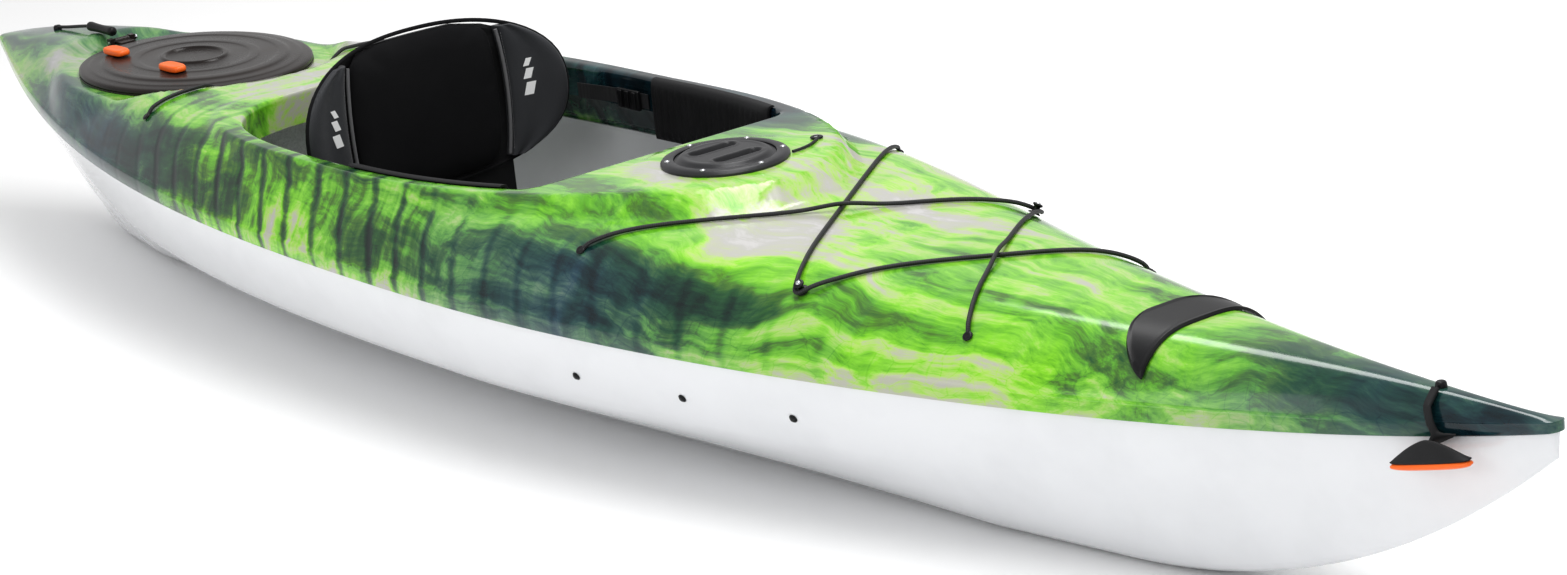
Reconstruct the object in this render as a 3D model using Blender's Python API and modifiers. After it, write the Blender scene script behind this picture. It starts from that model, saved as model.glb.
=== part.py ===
"""A twelve-foot sit-inside recreational kayak: two thermoformed shells joined at the gunwale,
an adjustable seat, foot braces, two hatches, deck rigging and carry handles.

Metres, +X to the bow, +Y to port, +Z up. The origin is on the keel plane, midway along.
"""
from math import cos, pi, radians, sin

import bmesh
import bpy
import numpy as np
from mathutils import Matrix, Vector
from mathutils.bvhtree import BVHTree

# ---- Driving dimensions ------------------------------------------------------------------
LENGTH = 3.66
BEAM = 0.712
WIDEST_X = 0.018          # station of the greatest beam
NOSE_HALF = 0.014         # half-width of the blunt tips
SEAM_Z = 0.222            # height of the gunwale seam at the widest station
BAND = 0.026              # height of the deck's skirt over the seam
DECK_WALL = 0.004
HULL_WALL = 0.004
SKIRT_GAP = 0.0012        # room between the skirt's inside and the hull
TOUCH = 0.0004            # gap between pieces that rest on each other
RUNNING = 0.0006          # gap round a moving pin or slide
CHINE_HALF = BEAM / 2 - 0.058
CHINE_Z = 0.091
KEEL_RISE = (0.673, 0.450)   # length of the keel's upward sweep at the bow and at the stern
CHINE_END = (0.254, 0.210)   # where the chine closes, from the bow and from the stern
KEEL_FLAT = 0.085         # half-width of the flat bottom

COAMING_X = -0.20         # widest station of the coaming
COAMING_HALF = BEAM / 2 - 0.041
COAMING_AFT = 0.56
COAMING_FORE = 0.70
COAMING_Z = 0.358
LIP = 0.040               # width of the coaming's rounded lip
FLANGE = 0.052            # depth of the wall that hangs from the lip
CONSOLE_AFT = 0.172       # aft edge of the console, which closes the front of the opening

CONSOLE_HATCH_X = 0.325
CONSOLE_Z = 0.381
CONSOLE_RING_R = 0.091
CONSOLE_LID_R = 0.0712

STERN_HATCH_Z = 0.322
STERN_HATCH_A = 0.235     # half-length of the lid
STERN_HATCH_X = STERN_HATCH_A + 0.455 - LENGTH / 2
STERN_HATCH_B = BEAM / 2 - 0.176     # half-width of the lid
STERN_RIM = 0.030         # width of the flat ring under the lid's edge

BACKREST_X = -0.460
BACKREST_Z = 0.344        # centre of the backrest's outline
BACKREST_HALF = min(0.240, COAMING_HALF - 0.075)
BACKREST_RISE = 0.128
BACKREST_PIVOT = (BACKREST_X, 0.132)
PAD_HALF = 0.138
PAD_THICK = 0.026

CORD_R = 0.003
# stations of the rigging, with half its spread there
RIG = ((0.36, 0.396 * BEAM), (0.2009 * LENGTH, 0.2935 * BEAM), (0.2753 * LENGTH, 0.222 * BEAM))
STERN_CORD = (STERN_HATCH_X + STERN_HATCH_A + 0.030, 0.3455 * BEAM)
BRACE_SCREWS_X = (0.35, 0.55, 0.74)
BRACE_Z = 0.155
BRACE_TALL = 0.028
BRACE_THICK = 0.013

HALF = LENGTH / 2

for item in list(bpy.data.objects):
    bpy.data.objects.remove(item, do_unlink=True)
parts = bpy.data.collections.new("kayak")
cutters = bpy.data.collections.new("cutters")
bpy.context.scene.collection.children.link(parts)
bpy.context.scene.collection.children.link(cutters)


# ---- Finishes ----------------------------------------------------------------------------
def finish(name, colour, roughness, metallic=0.0):
    material = bpy.data.materials.new(name)
    material.use_nodes = True
    shader = material.node_tree.nodes["Principled BSDF"]
    shader.inputs["Base Color"].default_value = (*colour, 1.0)
    shader.inputs["Roughness"].default_value = roughness
    shader.inputs["Metallic"].default_value = metallic
    return material


HULL_WHITE = finish("hull_abs_white", (0.86, 0.87, 0.88), 0.2)
DECK_GREEN = finish("deck_abs_marbled", (0.30, 0.52, 0.12), 0.22)
FOAM = finish("flotation_foam", (0.75, 0.76, 0.74), 0.9)
BLACK_MOULDED = finish("black_moulded", (0.02, 0.02, 0.022), 0.45)
HATCH_BROWN = finish("hatch_black_brown", (0.035, 0.028, 0.026), 0.4)
ORANGE = finish("orange_moulded", (0.90, 0.20, 0.03), 0.4)
GREY_MOULDED = finish("grey_moulded", (0.10, 0.11, 0.12), 0.45)
RUBBER = finish("rubber_black", (0.015, 0.015, 0.015), 0.7)
FABRIC = finish("seat_fabric", (0.012, 0.012, 0.014), 0.9)
WING_GREY = finish("wing_fabric_grey", (0.06, 0.065, 0.07), 0.8)
WEBBING = finish("webbing_black", (0.02, 0.02, 0.02), 0.85)
CORD = finish("cord_black", (0.015, 0.015, 0.015), 0.75)
STEEL = finish("stainless_steel", (0.55, 0.56, 0.58), 0.3, 1.0)


# ---- Lines of the boat -------------------------------------------------------------------
def station(x):
    """Share of the way from the widest station to the nearer tip, and which tip it is."""
    x = np.asarray(x, float)
    bow = x > WIDEST_X
    share = np.where(bow, (x - WIDEST_X) / (HALF - WIDEST_X), (WIDEST_X - x) / (HALF + WIDEST_X))
    return np.clip(share, 0.0, 1.0), bow


def gunwale_half(x):
    t, bow = station(x)
    plan = np.where(bow, (1 - t**1.97) ** 1.66, (1 - t**2.53) ** 1.08)
    return BEAM / 2 * plan + NOSE_HALF * t**3


def gunwale_z(x):
    t, bow = station(x)
    return SEAM_Z + np.where(bow, -0.024 * t**2 + 0.098 * t**5, 0.019 * t**2 + 0.039 * t**5)


def band(x):
    t, _ = station(x)
    return BAND * (1 - 0.5 * t**6)


def smooth(value, low, high):
    share = np.clip((value - low) / (high - low), 0.0, 1.0)
    return share * share * (3 - 2 * share)


def crown(x):
    """Height of the deck's ridge over the top of its skirt."""
    t, bow = station(x)
    fore = 0.112 - 0.030 * t - 0.058 * t**3
    aft = 0.112 - 0.010 * t - 0.062 * t**3
    return np.where(bow, fore, aft) * (1 - t**14)


def shoulder(x):
    """Power of the deck's section: high is a flat top with steep sides."""
    t, bow = station(x)
    return np.where(bow, 9.5 - 5.5 * smooth(t, 0.1, 0.5) - 1.5 * t**4, 11.0 - 6.5 * smooth(t, 0.3, 0.7) - t**4)


def coaming_inset(x, y):
    """Distance inwards from the coaming's outer foot, negative outside it."""
    ahead = np.asarray(x) > COAMING_X
    power = np.where(ahead, 2.1, 3.6)
    along = np.abs(x - COAMING_X) / np.where(ahead, COAMING_FORE, COAMING_AFT)
    across = np.abs(y) / COAMING_HALF
    return (1 - (along**power + across**power) ** (1 / power)) * COAMING_HALF


def coaming_top(x):
    return COAMING_Z + (CONSOLE_Z - COAMING_Z) * np.clip((x + 0.25) / 0.6, 0, 1) ** 1.5


def deck_z(x, y):
    """Height of the deck's outer skin."""
    half = gunwale_half(x)
    low = gunwale_z(x) + band(x)
    base = low + crown(x) * (1 - np.clip(np.abs(y) / half, 0, 1) ** shoulder(x))
    inset = coaming_inset(x, y)
    z = base + (coaming_top(x) - base) * smooth(inset, -0.006, 0.022)
    console = np.hypot(x - CONSOLE_HATCH_X, y)
    z = z + (CONSOLE_Z - z) * (1 - smooth(console, CONSOLE_RING_R + 0.024, CONSOLE_RING_R + 0.05))
    hatch = np.hypot((x - STERN_HATCH_X) / (STERN_HATCH_A + 0.045), y / (STERN_HATCH_B + 0.022))
    return z + (STERN_HATCH_Z - z) * (1 - smooth(hatch, 1.0, 1.16))


# ---- Helpers that make one object --------------------------------------------------------
def add(name, mesh, material, collection=None):
    obj = bpy.data.objects.new(name, mesh)
    (collection or parts).objects.link(obj)
    mesh.materials.clear()
    mesh.materials.append(material)
    return obj


def from_bmesh(name, shape, material, crease=35, collection=None):
    bmesh.ops.recalc_face_normals(shape, faces=shape.faces)
    if shape.calc_volume(signed=True) < 0:
        bmesh.ops.reverse_faces(shape, faces=shape.faces)
    mesh = bpy.data.meshes.new(name)
    shape.to_mesh(mesh)
    shape.free()
    mesh.shade_smooth()
    mesh.set_sharp_from_angle(angle=radians(crease))
    return add(name, mesh, material, collection)


def evaluated_mesh(obj):
    graph = bpy.context.evaluated_depsgraph_get()
    graph.update()
    return bpy.data.meshes.new_from_object(obj.evaluated_get(graph))


def place(mesh, location, normal=(0, 0, 1)):
    """Turn a mesh's +Z to a normal and carry it to a location."""
    z = Vector(normal).normalized()
    x = Vector((1, 0, 0)) if abs(z.x) < 0.9 else Vector((0, 0, 1))
    x = (x - x.dot(z) * z).normalized()
    turn = Matrix((x, z.cross(x), z)).transposed().to_4x4()
    mesh.transform(Matrix.Translation(location) @ turn)


def box(name, low, high, material, bevel=0.0, collection=None):
    shape = bmesh.new()
    bmesh.ops.create_cube(shape, size=1.0)
    low, high = Vector(low), Vector(high)
    bmesh.ops.scale(shape, vec=high - low, verts=shape.verts)
    bmesh.ops.translate(shape, vec=(low + high) / 2, verts=shape.verts)
    if bevel:
        bmesh.ops.bevel(shape, geom=shape.edges, offset=bevel, segments=2, profile=0.5, affect="EDGES")
    return from_bmesh(name, shape, material, 35, collection)


def turned(name, profile, material, steps=24, stretch=1.0, location=(0, 0, 0), normal=(0, 0, 1),
           closed=False, collection=None):
    """Turn a profile of (radius, height) points round Z, and stretch it along X if oval."""
    shape = bmesh.new()
    points = [shape.verts.new((r, 0, z)) for r, z in profile]
    for one, two in zip(points, points[1:]):
        shape.edges.new((one, two))
    if closed:
        shape.edges.new((points[-1], points[0]))
    mesh = bpy.data.meshes.new(name)
    shape.to_mesh(mesh)
    shape.free()
    obj = add(name, mesh, material)
    screw = obj.modifiers.new("turn", "SCREW")
    screw.steps = screw.render_steps = steps
    screw.use_merge_vertices = True
    screw.merge_threshold = 0.0001
    solid = evaluated_mesh(obj)
    bpy.data.objects.remove(obj)
    solid.transform(Matrix.Diagonal((stretch, 1, 1, 1)))
    place(solid, location, normal)
    shape = bmesh.new()
    shape.from_mesh(solid)
    bmesh.ops.remove_doubles(shape, verts=shape.verts, dist=0.00002)
    return from_bmesh(name, shape, material, 30, collection)


def tube(name, points, radius, material, sides=2):
    curve = bpy.data.curves.new(name, "CURVE")
    curve.dimensions = "3D"
    spline = curve.splines.new("POLY")
    spline.points.add(len(points) - 1)
    for knot, point in zip(spline.points, points):
        knot.co = (*point, 1)
    curve.bevel_depth = radius
    curve.bevel_resolution = sides
    curve.use_fill_caps = True
    curve.materials.append(material)
    obj = bpy.data.objects.new(name, curve)
    parts.objects.link(obj)
    return obj


def loft(name, rings, material, crease=35, collection=None):
    """Closed solid through rings of equal point counts, with flat end caps."""
    shape = bmesh.new()
    loops = [[shape.verts.new(point) for point in ring] for ring in rings]
    for one, two in zip(loops, loops[1:]):
        for k in range(len(one)):
            n = (k + 1) % len(one)
            shape.faces.new((one[k], one[n], two[n], two[k]))
    shape.faces.new(loops[0])
    shape.faces.new(loops[-1])
    return from_bmesh(name, shape, material, crease, collection)


def mirrored(points):
    """Section points for the port side, followed by their starboard mirror images."""
    return points + [(y * -1, z) for y, z in reversed(points) if y > 1e-6]


def boolean(target, tool, operation="DIFFERENCE"):
    tool.hide_render = True
    tool.display_type = "WIRE"
    change = target.modifiers.new(operation.lower(), "BOOLEAN")
    change.operation = operation
    change.object = tool


def settle(obj, crease=35):
    """Apply the modifiers, so that later pieces can be measured off the finished mesh."""
    mesh = evaluated_mesh(obj)
    obj.modifiers.clear()
    obj.data = mesh
    mesh.shade_smooth()
    mesh.set_sharp_from_angle(angle=radians(crease))
    return obj


def join_by_union(target, tool):
    """Union the tool into the target and drop the tool."""
    boolean(target, tool, "UNION")
    settle(target)
    bpy.data.objects.remove(tool)
    return target


def pivot_at(obj, point):
    """Put the object's origin on its joint axis without moving its shape."""
    obj.data.transform(Matrix.Translation(-Vector(point)))
    obj.location = point
    return obj


# ---- The two shells ----------------------------------------------------------------------
def half_shell(name, columns, material, wall, cap, flange_columns=()):
    """Port half of a shell from columns of points, mirrored and given its wall."""
    shape = bmesh.new()
    grid = [[shape.verts.new(point) for point in column] for column in columns]
    for k in range(len(grid) - 1):
        one, two = grid[k], grid[k + 1]
        skip = 0
        if flange_columns:
            inside = flange_columns[0] <= k < flange_columns[1]
            skip = 0 if inside else FLANGE_ROWS
        for j in range(skip, len(one) - 1):
            shape.faces.new((one[j], one[j + 1], two[j + 1], two[j]))
    first = FLANGE_ROWS if flange_columns else 0
    for column in (grid[0], grid[-1]):
        end = column[-1] if cap == "last" else column[0]
        shut = shape.verts.new((end.co.x, 0, end.co.z))
        shape.faces.new(column[first:] + [shut])
    loose = [v for v in shape.verts if not v.link_faces]
    bmesh.ops.delete(shape, geom=loose, context="VERTS")
    bmesh.ops.recalc_face_normals(shape, faces=shape.faces)
    if sum(f.normal.y * f.calc_area() for f in shape.faces) < 0:
        bmesh.ops.reverse_faces(shape, faces=shape.faces)
    mesh = bpy.data.meshes.new(name)
    shape.to_mesh(mesh)
    shape.free()
    obj = add(name, mesh, material)
    mirror = obj.modifiers.new("other side", "MIRROR")
    mirror.use_axis = (False, True, False)
    mirror.merge_threshold = 0.0001
    solid = obj.modifiers.new("wall", "SOLIDIFY")
    solid.thickness = wall
    solid.offset = -1.0
    solid.use_even_offset = False
    return settle(obj)


def keel_z(x):
    fore = np.clip((x - HALF + KEEL_RISE[0]) / KEEL_RISE[0], 0, 1)
    aft = np.clip((-x - HALF + KEEL_RISE[1]) / KEEL_RISE[1], 0, 1)
    return (gunwale_z(HALF) - 0.028) * fore**2.07 + (gunwale_z(-HALF) - 0.028) * aft**1.3


HULL_END = HALF - 0.0055
HULL_INSET = DECK_WALL + SKIRT_GAP


def hull_section(x):
    """Half section of the hull's outer skin, keel to the flange inside the skirt."""
    side = float(gunwale_half(x)) - HULL_INSET
    low, high = float(keel_z(x)), float(gunwale_z(x))
    if x > WIDEST_X:
        share = (x - WIDEST_X) / (HALF - CHINE_END[0] - WIDEST_X)
    else:
        share = (WIDEST_X - x) / (HALF - CHINE_END[1] + WIDEST_X)
    power, rise = (1.63, 0.049) if x > WIDEST_X else (2.59, 0.014)
    chine = CHINE_HALF * max(0.0, 1 - share**power)
    chine_z = CHINE_Z + rise * share**2
    chine = max(chine, 0.5 * side)
    chine_z = max(chine_z, low + 0.35 * (high - low))
    flat = min(KEEL_FLAT, 0.5 * chine)
    belly_z = low + 0.42 * (chine_z - low)
    rows = [(0.0, low), (flat, low + 0.0006 * (low > 0)), ((flat + chine) / 2 + 0.004 * chine / CHINE_HALF, belly_z)]
    for share in (0.0, 0.33, 0.67, 1.0):
        bulge = 0.006 * sin(pi * share) * min(1.0, side / 0.1)
        rows.append((chine + share * (side - chine) + bulge, chine_z + share * (high - chine_z)))
    rows.append((side, high + 0.6 * float(band(x))))
    return rows


tip_steps = [0.0, 0.02, 0.05, 0.09, 0.14, 0.20, 0.27]
middle = [x for x in np.linspace(-HULL_END + 0.36, HULL_END - 0.36, 25)]
hull_x = [-HULL_END + s for s in tip_steps] + middle + [HULL_END - s for s in reversed(tip_steps)]
hull_columns = [[(x, y, z) for y, z in hull_section(x)] for x in hull_x]
hull = half_shell("hull_shell", hull_columns, HULL_WHITE, HULL_WALL, "last")

FLANGE_ROWS = 2


def opening_outline():
    """Port half of the cockpit opening, from the aft centre round to the console's middle."""
    shrink = 1 - LIP / COAMING_HALF
    wide = COAMING_HALF * shrink
    points = []
    for angle in np.linspace(0, 90, 10):
        a = radians(angle)
        points.append((COAMING_X - COAMING_AFT * shrink * cos(a) ** (2 / 3.6), wide * sin(a) ** (2 / 3.6)))
    long = COAMING_FORE * shrink
    reach = CONSOLE_AFT - 0.03 - COAMING_X
    for x in np.linspace(0, reach, 9)[1:]:
        points.append((COAMING_X + x, wide * (1 - (x / long) ** 2.1) ** (1 / 2.1)))
    corner_y = points[-1][1]
    for angle in (30, 60, 90):
        a = radians(angle)
        points.append((CONSOLE_AFT - 0.03 + 0.03 * sin(a), corner_y - 0.034 * (1 - cos(a)) - 0.004 * sin(a)))
    for y in np.linspace(points[-1][1], 0, 7)[1:]:
        points.append((CONSOLE_AFT, y))
    return points


def deck_column(inner, outer_x, rows):
    """Points from an inner point out to the gunwale at a station, and down the skirt."""
    outer_y = float(gunwale_half(outer_x))
    points = []
    for share in rows:
        x = inner[0] + (outer_x - inner[0]) * share
        y = inner[1] + (outer_y - inner[1]) * share
        points.append((x, y, float(deck_z(x, y))))
    points.append((outer_x, outer_y, float(gunwale_z(outer_x))))
    return points


open_rows = [0.0, 0.22, 0.42, 0.56, 0.68, 0.78, 0.86, 0.92, 0.965, 1.0]
wide_rows = [0.0, 0.20, 0.40, 0.56, 0.69, 0.79, 0.87, 0.93, 0.97, 1.0]
columns = []
aft_x = [-HALF + s for s in (0.0, 0.02, 0.05, 0.09, 0.15, 0.22, 0.30, 0.37)]
aft_x += list(np.linspace(0.43 - HALF, -0.85, 13))
for x in aft_x:
    centre = (x + 0.12 * float(smooth(x, -1.15, -0.80)), 0.0)
    flat = [(centre[0], 0.0, float(deck_z(centre[0], 0.0)))] * FLANGE_ROWS
    columns.append(flat + deck_column(centre, x, wide_rows))
first_open = len(columns)
outline = opening_outline()
rim_wide = COAMING_HALF - LIP
for x, y in outline:
    spread = 0.13 if x > COAMING_X else -0.12
    outer = x + (1 - abs(y) / rim_wide) * spread
    top = float(deck_z(x, y))
    wall = [(x, y, top - FLANGE), (x, y, top - 0.010)]
    column = deck_column((x, y), outer, open_rows)
    column[0] = (x, y, top - 0.003)
    columns.append(wall + column)
last_open = len(columns) - 1
fore_x = list(np.linspace(0.36, HALF - 0.47, 16)) + [HALF - s for s in (0.40, 0.33, 0.26, 0.19, 0.13, 0.08, 0.045, 0.018, 0.0)]
for x in fore_x:
    centre = (x - 0.13 * (1 - float(smooth(x, 0.30, 0.70))), 0.0)
    flat = [(centre[0], 0.0, float(deck_z(centre[0], 0.0)))] * FLANGE_ROWS
    columns.append(flat + deck_column(centre, x, wide_rows))
deck = half_shell("deck_shell", columns, DECK_GREEN, DECK_WALL, "last", (first_open, last_open))


# ---- Openings cut in the shells ----------------------------------------------------------
def cutter_drum(name, radius, location, normal, length, stretch=1.0, steps=32):
    profile = [(0, length / 2), (radius, length / 2), (radius, -length / 2), (0, -length / 2)]
    return turned(name, profile, STEEL, steps, stretch, location, normal, collection=cutters)


hatch_hole = cutter_drum("cut_stern_hatch", STERN_HATCH_B - STERN_RIM, (STERN_HATCH_X, 0, STERN_HATCH_Z),
                         (0, 0, 1), 0.1, (STERN_HATCH_A - STERN_RIM) / (STERN_HATCH_B - STERN_RIM), 40)
console_hole = cutter_drum("cut_console", CONSOLE_LID_R + 0.0045, (CONSOLE_HATCH_X, 0, CONSOLE_Z), (0, 0, 1), 0.08)
boolean(deck, hatch_hole)
boolean(deck, console_hole)
for name, radius, x, z, stretch in (
        ("cut_stern_hatch_seat", STERN_HATCH_B + 0.006, STERN_HATCH_X, STERN_HATCH_Z, STERN_HATCH_A / STERN_HATCH_B),
        ("cut_console_seat", CONSOLE_RING_R + 0.006, CONSOLE_HATCH_X, CONSOLE_Z, 1.0)):
    boolean(deck, cutter_drum(name, radius, (x, 0, z + 0.05), (0, 0, 1), 0.1, stretch, 40))
settle(deck)


def tree_of(*objects):
    """Search tree over finished meshes in world space."""
    shape = bmesh.new()
    for obj in objects:
        mesh = obj.data.copy()
        mesh.transform(obj.matrix_basis)
        shape.from_mesh(mesh)
        bpy.data.meshes.remove(mesh)
    tree = BVHTree.FromBMesh(shape)
    shape.free()
    return tree


deck_tree = tree_of(deck)
hull_tree = tree_of(hull)
both_tree = tree_of(deck, hull)


def on_deck(x, y):
    """The point and the outward normal of the deck's outer skin under a plan point."""
    point, normal, _, _ = deck_tree.ray_cast(Vector((x, y, 1.0)), Vector((0, 0, -1)))
    return point, normal


def on_side(x, z, side, tree=None):
    """The point and the outward normal of the boat's outer side at a station and height."""
    point, normal, _, _ = (tree or both_tree).ray_cast(Vector((x, side, z)), Vector((0, -side, 0)))
    return point, normal


def inside_hull(x, z):
    """Half-breadth of the hull's or the deck's inner skin at a station and height."""
    point, _, _, _ = both_tree.ray_cast(Vector((x, 0.0, z)), Vector((0, 1, 0)))
    return point.y


def floor_z(x, y):
    """Height of the hull's inner floor."""
    point, _, _, _ = hull_tree.ray_cast(Vector((x, y, 0.2)), Vector((0, 0, -1)))
    return point.z


def clear_of_deck(x, y, reach):
    """Height at which a flat disc of this reach clears the deck."""
    heights = [on_deck(x, y)[0].z]
    for k in range(12):
        a = k * pi / 6
        heights.append(on_deck(x + reach * cos(a), y + reach * sin(a))[0].z)
    return max(heights) + TOUCH


# ---- Inside the boat ---------------------------------------------------------------------
def section_plate(name, x0, x1, z_levels, margin, material):
    """Plate across the boat that follows the inside of both shells."""
    outline = []
    for z in z_levels:
        outline.append((min(inside_hull(x0, z), inside_hull(x1, z)) - margin, z))
    ring = mirrored(outline)
    return loft(name, [[(x, y, z) for y, z in ring] for x in (x0, x1)], material)


bulkhead_x = COAMING_X - COAMING_AFT - 0.05
section_plate("stern_bulkhead", bulkhead_x, bulkhead_x + 0.030,
              (0.012, 0.04, 0.07, 0.095, 0.13, 0.17, 0.20, 0.255, 0.28, 0.30), 0.004, FOAM)

foam_x = (HALF - 0.85, HALF - 0.43)
foam_half = 0.042
foam_rings = []
for x in foam_x:
    low = max(floor_z(foam_x[0], foam_half), floor_z(foam_x[1], foam_half), floor_z(x, 0)) + 2.5 * TOUCH
    top = min(float(deck_z(foam_x[0], foam_half)), float(deck_z(foam_x[1], foam_half))) - DECK_WALL - 0.006
    foam_rings.append([(x, -foam_half, low), (x, foam_half, low), (x, foam_half, top), (x, -foam_half, top)])
loft("bow_flotation_block", foam_rings, FOAM)

SEAT_AFT, SEAT_FORE = BACKREST_X - 0.030, -0.03
floor = max(floor_z(SEAT_AFT, 0.0), floor_z(SEAT_FORE, 0.0), floor_z(-0.2, 0.06)) + TOUCH
pan_rings = []
for x, lift, flare in ((SEAT_AFT, 0.006, 0.0), (-0.40, 0.002, 0.004), (-0.30, 0.0, 0.008), (-0.16, 0.002, 0.008),
                       (-0.07, 0.012, 0.004), (SEAT_FORE, 0.008, -0.004)):
    half = 0.196 + flare
    pan_rings.append([(x, y, z) for y, z in mirrored([
        (0.0, floor), (0.070, floor), (half - 0.014, 0.084 + lift), (half, 0.128 + lift),
        (half - 0.016, 0.130 + lift), (half - 0.036, 0.092 + lift), (0.10, 0.076 + lift), (0.0, 0.072 + lift)])])
pan = loft("seat_pan", pan_rings, GREY_MOULDED)

cushion_rings = []
for x, lift, thick in ((-0.392, 0.0025, 0.014), (-0.36, 0.0025, 0.026), (-0.30, 0.0025, 0.030),
                       (-0.16, 0.0045, 0.030), (-0.085, 0.0135, 0.026), (-0.055, 0.0135, 0.014)):
    cushion_rings.append([(x, y, z) for y, z in mirrored([
        (0.0, 0.0726 + lift), (0.10, 0.0766 + lift), (0.156, 0.0916 + lift), (0.152, 0.092 + lift + 0.5 * thick),
        (0.125, 0.088 + lift + 0.8 * thick), (0.0, 0.074 + lift + thick)])])
loft("seat_cushion", cushion_rings, FABRIC, 60)


# ---- Backrest ----------------------------------------------------------------------------
def outline_half(z, scale=1.0):
    """Half-width of the backrest's rounded outline at a height."""
    share = min(1.0, abs(z - BACKREST_Z) / (BACKREST_RISE * scale))
    return BACKREST_HALF * scale * (1 - share**2.4) ** (1 / 2.4)


def wrap_x(y):
    """The backrest curves forward to both sides."""
    return BACKREST_X + 1.0 * y * y


def backrest_panel(name, z_levels, inner, outer, front, thick, material, across=5):
    """Upright panel between two half-widths, curved round the sitter, with a wall to the front."""
    rings = []
    for z in z_levels:
        start, stop = inner(z), outer(z)
        ys = np.linspace(start, stop, across)
        near = [(wrap_x(y) + front, y, z) for y in ys]
        far = [(wrap_x(y) + front + thick, y, z) for y in reversed(ys)]
        rings.append(near + far)
    return loft(name, rings, material, 50)


def board_half(z):
    if z < BACKREST_Z - 0.06:
        return 0.15
    return max(0.05, outline_half(z, 0.95))


board = backrest_panel("backrest_board", (0.158, 0.19, 0.235, *(BACKREST_Z + rise for rise in (-0.064, -0.032, 0.008, 0.048, 0.088, 0.108, 0.118))),
                       lambda z: -board_half(z), board_half, -0.0085, 0.0055, BLACK_MOULDED, 11)
PIVOT_X, PIVOT_Z = BACKREST_PIVOT
for side in (1, -1):
    lug = box("lug", (PIVOT_X - 0.012, side * 0.122 - 0.006, PIVOT_Z - 0.012),
              (PIVOT_X + 0.019, side * 0.122 + 0.006, 0.175), BLACK_MOULDED)
    board = join_by_union(board, lug)
PIN_R = 0.004
pin_bore = cutter_drum("cut_backrest_pin", PIN_R + RUNNING, (PIVOT_X, 0, PIVOT_Z), (0, 1, 0), 0.5, steps=16)
boolean(board, pin_bore)
settle(board)
pivot_at(board, (PIVOT_X, 0, PIVOT_Z))

pad_levels = [BACKREST_Z + BACKREST_RISE * s for s in (-0.985, -0.9, -0.75, -0.5, -0.2, 0.2, 0.5, 0.75, 0.9, 0.985)]
pad = backrest_panel("backrest_pad", pad_levels, lambda z: -min(PAD_HALF, outline_half(z)),
                     lambda z: min(PAD_HALF, outline_half(z)), TOUCH, PAD_THICK, FABRIC, 7)
pivot_at(pad, (PIVOT_X, 0, PIVOT_Z))
wing_levels = [BACKREST_Z + 0.106 * s for s in (-1, -0.75, -0.4, 0, 0.4, 0.75, 1)]
for side, word in ((1, "port"), (-1, "starboard")):
    wing = backrest_panel("backrest_wing_" + word, wing_levels, lambda z: side * (PAD_HALF + 0.002),
                          lambda z: side * outline_half(z), TOUCH, PAD_THICK, WING_GREY, 5)
    pivot_at(wing, (PIVOT_X, 0, PIVOT_Z))
    bracket = box("bracket", (PIVOT_X - 0.012, side * 0.139 - 0.007, 0.080),
                  (PIVOT_X + 0.012, side * 0.139 + 0.007, PIVOT_Z + 0.012), GREY_MOULDED, 0.002)
    join_by_union(pan, bracket)
    turned("backrest_pin_" + word, [(0, 0.021), (0.0065, 0.021), (0.0065, 0.0175), (PIN_R, 0.0175),
                                          (PIN_R, -0.018), (0, -0.018)], STEEL, 16,
                 location=(PIVOT_X, side * 0.131, PIVOT_Z), normal=(0, side, 0))

boolean(pan, pin_bore)
settle(pan)


# ---- Straps and thigh pads on the cockpit wall -------------------------------------------
def wall_y(x):
    """Half-width of the cockpit opening at a station beside the seat."""
    shrink = 1 - LIP / COAMING_HALF
    ahead = x > COAMING_X
    long = (COAMING_FORE if ahead else COAMING_AFT) * shrink
    power = 2.1 if ahead else 3.6
    return COAMING_HALF * shrink * (1 - (abs(x - COAMING_X) / long) ** power) ** (1 / power)


STRAP_Z = 0.3215
STRAP_WIDE = 0.024
PAD_X = (-0.215, 0.125)
for side, word in ((1, "port"), (-1, "starboard")):
    strap = []
    for x in (-0.398, -0.37, -0.34, -0.31, -0.28, -0.25, -0.23):
        y = wall_y(x) - 0.0022 - 0.010 * smooth(-x, 0.31, 0.398)
        low, high = STRAP_Z - STRAP_WIDE / 2, STRAP_Z + STRAP_WIDE / 2
        strap.append([(x, side * (y - 0.0016), low), (x, side * y, low), (x, side * y, high),
                      (x, side * (y - 0.0016), high)])
    loft("backrest_strap_" + word, strap, WEBBING)
    y = min(wall_y(-0.30), wall_y(-0.25)) - 0.0022 - 0.0016 - TOUCH - 0.0006
    box("strap_buckle_" + word, (-0.302, min(side * y, side * (y - 0.009)), STRAP_Z - 0.016),
        (-0.246, max(side * y, side * (y - 0.009)), STRAP_Z + 0.016), BLACK_MOULDED, 0.002)
    rings = []
    for x in np.linspace(PAD_X[0], PAD_X[1], 8):
        y, top = wall_y(x) - 0.0022, float(coaming_top(x)) + 0.0012
        rings.append([(x, side * yy, zz) for yy, zz in (
            (y - 0.016, top - 0.094), (y, top - 0.094), (y, top), (y + 0.010, top),
            (y + 0.010, top + 0.004), (y - 0.006, top + 0.005), (y - 0.016, top - 0.006))])
    loft("thigh_pad_" + word, rings, RUBBER, 50)


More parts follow.
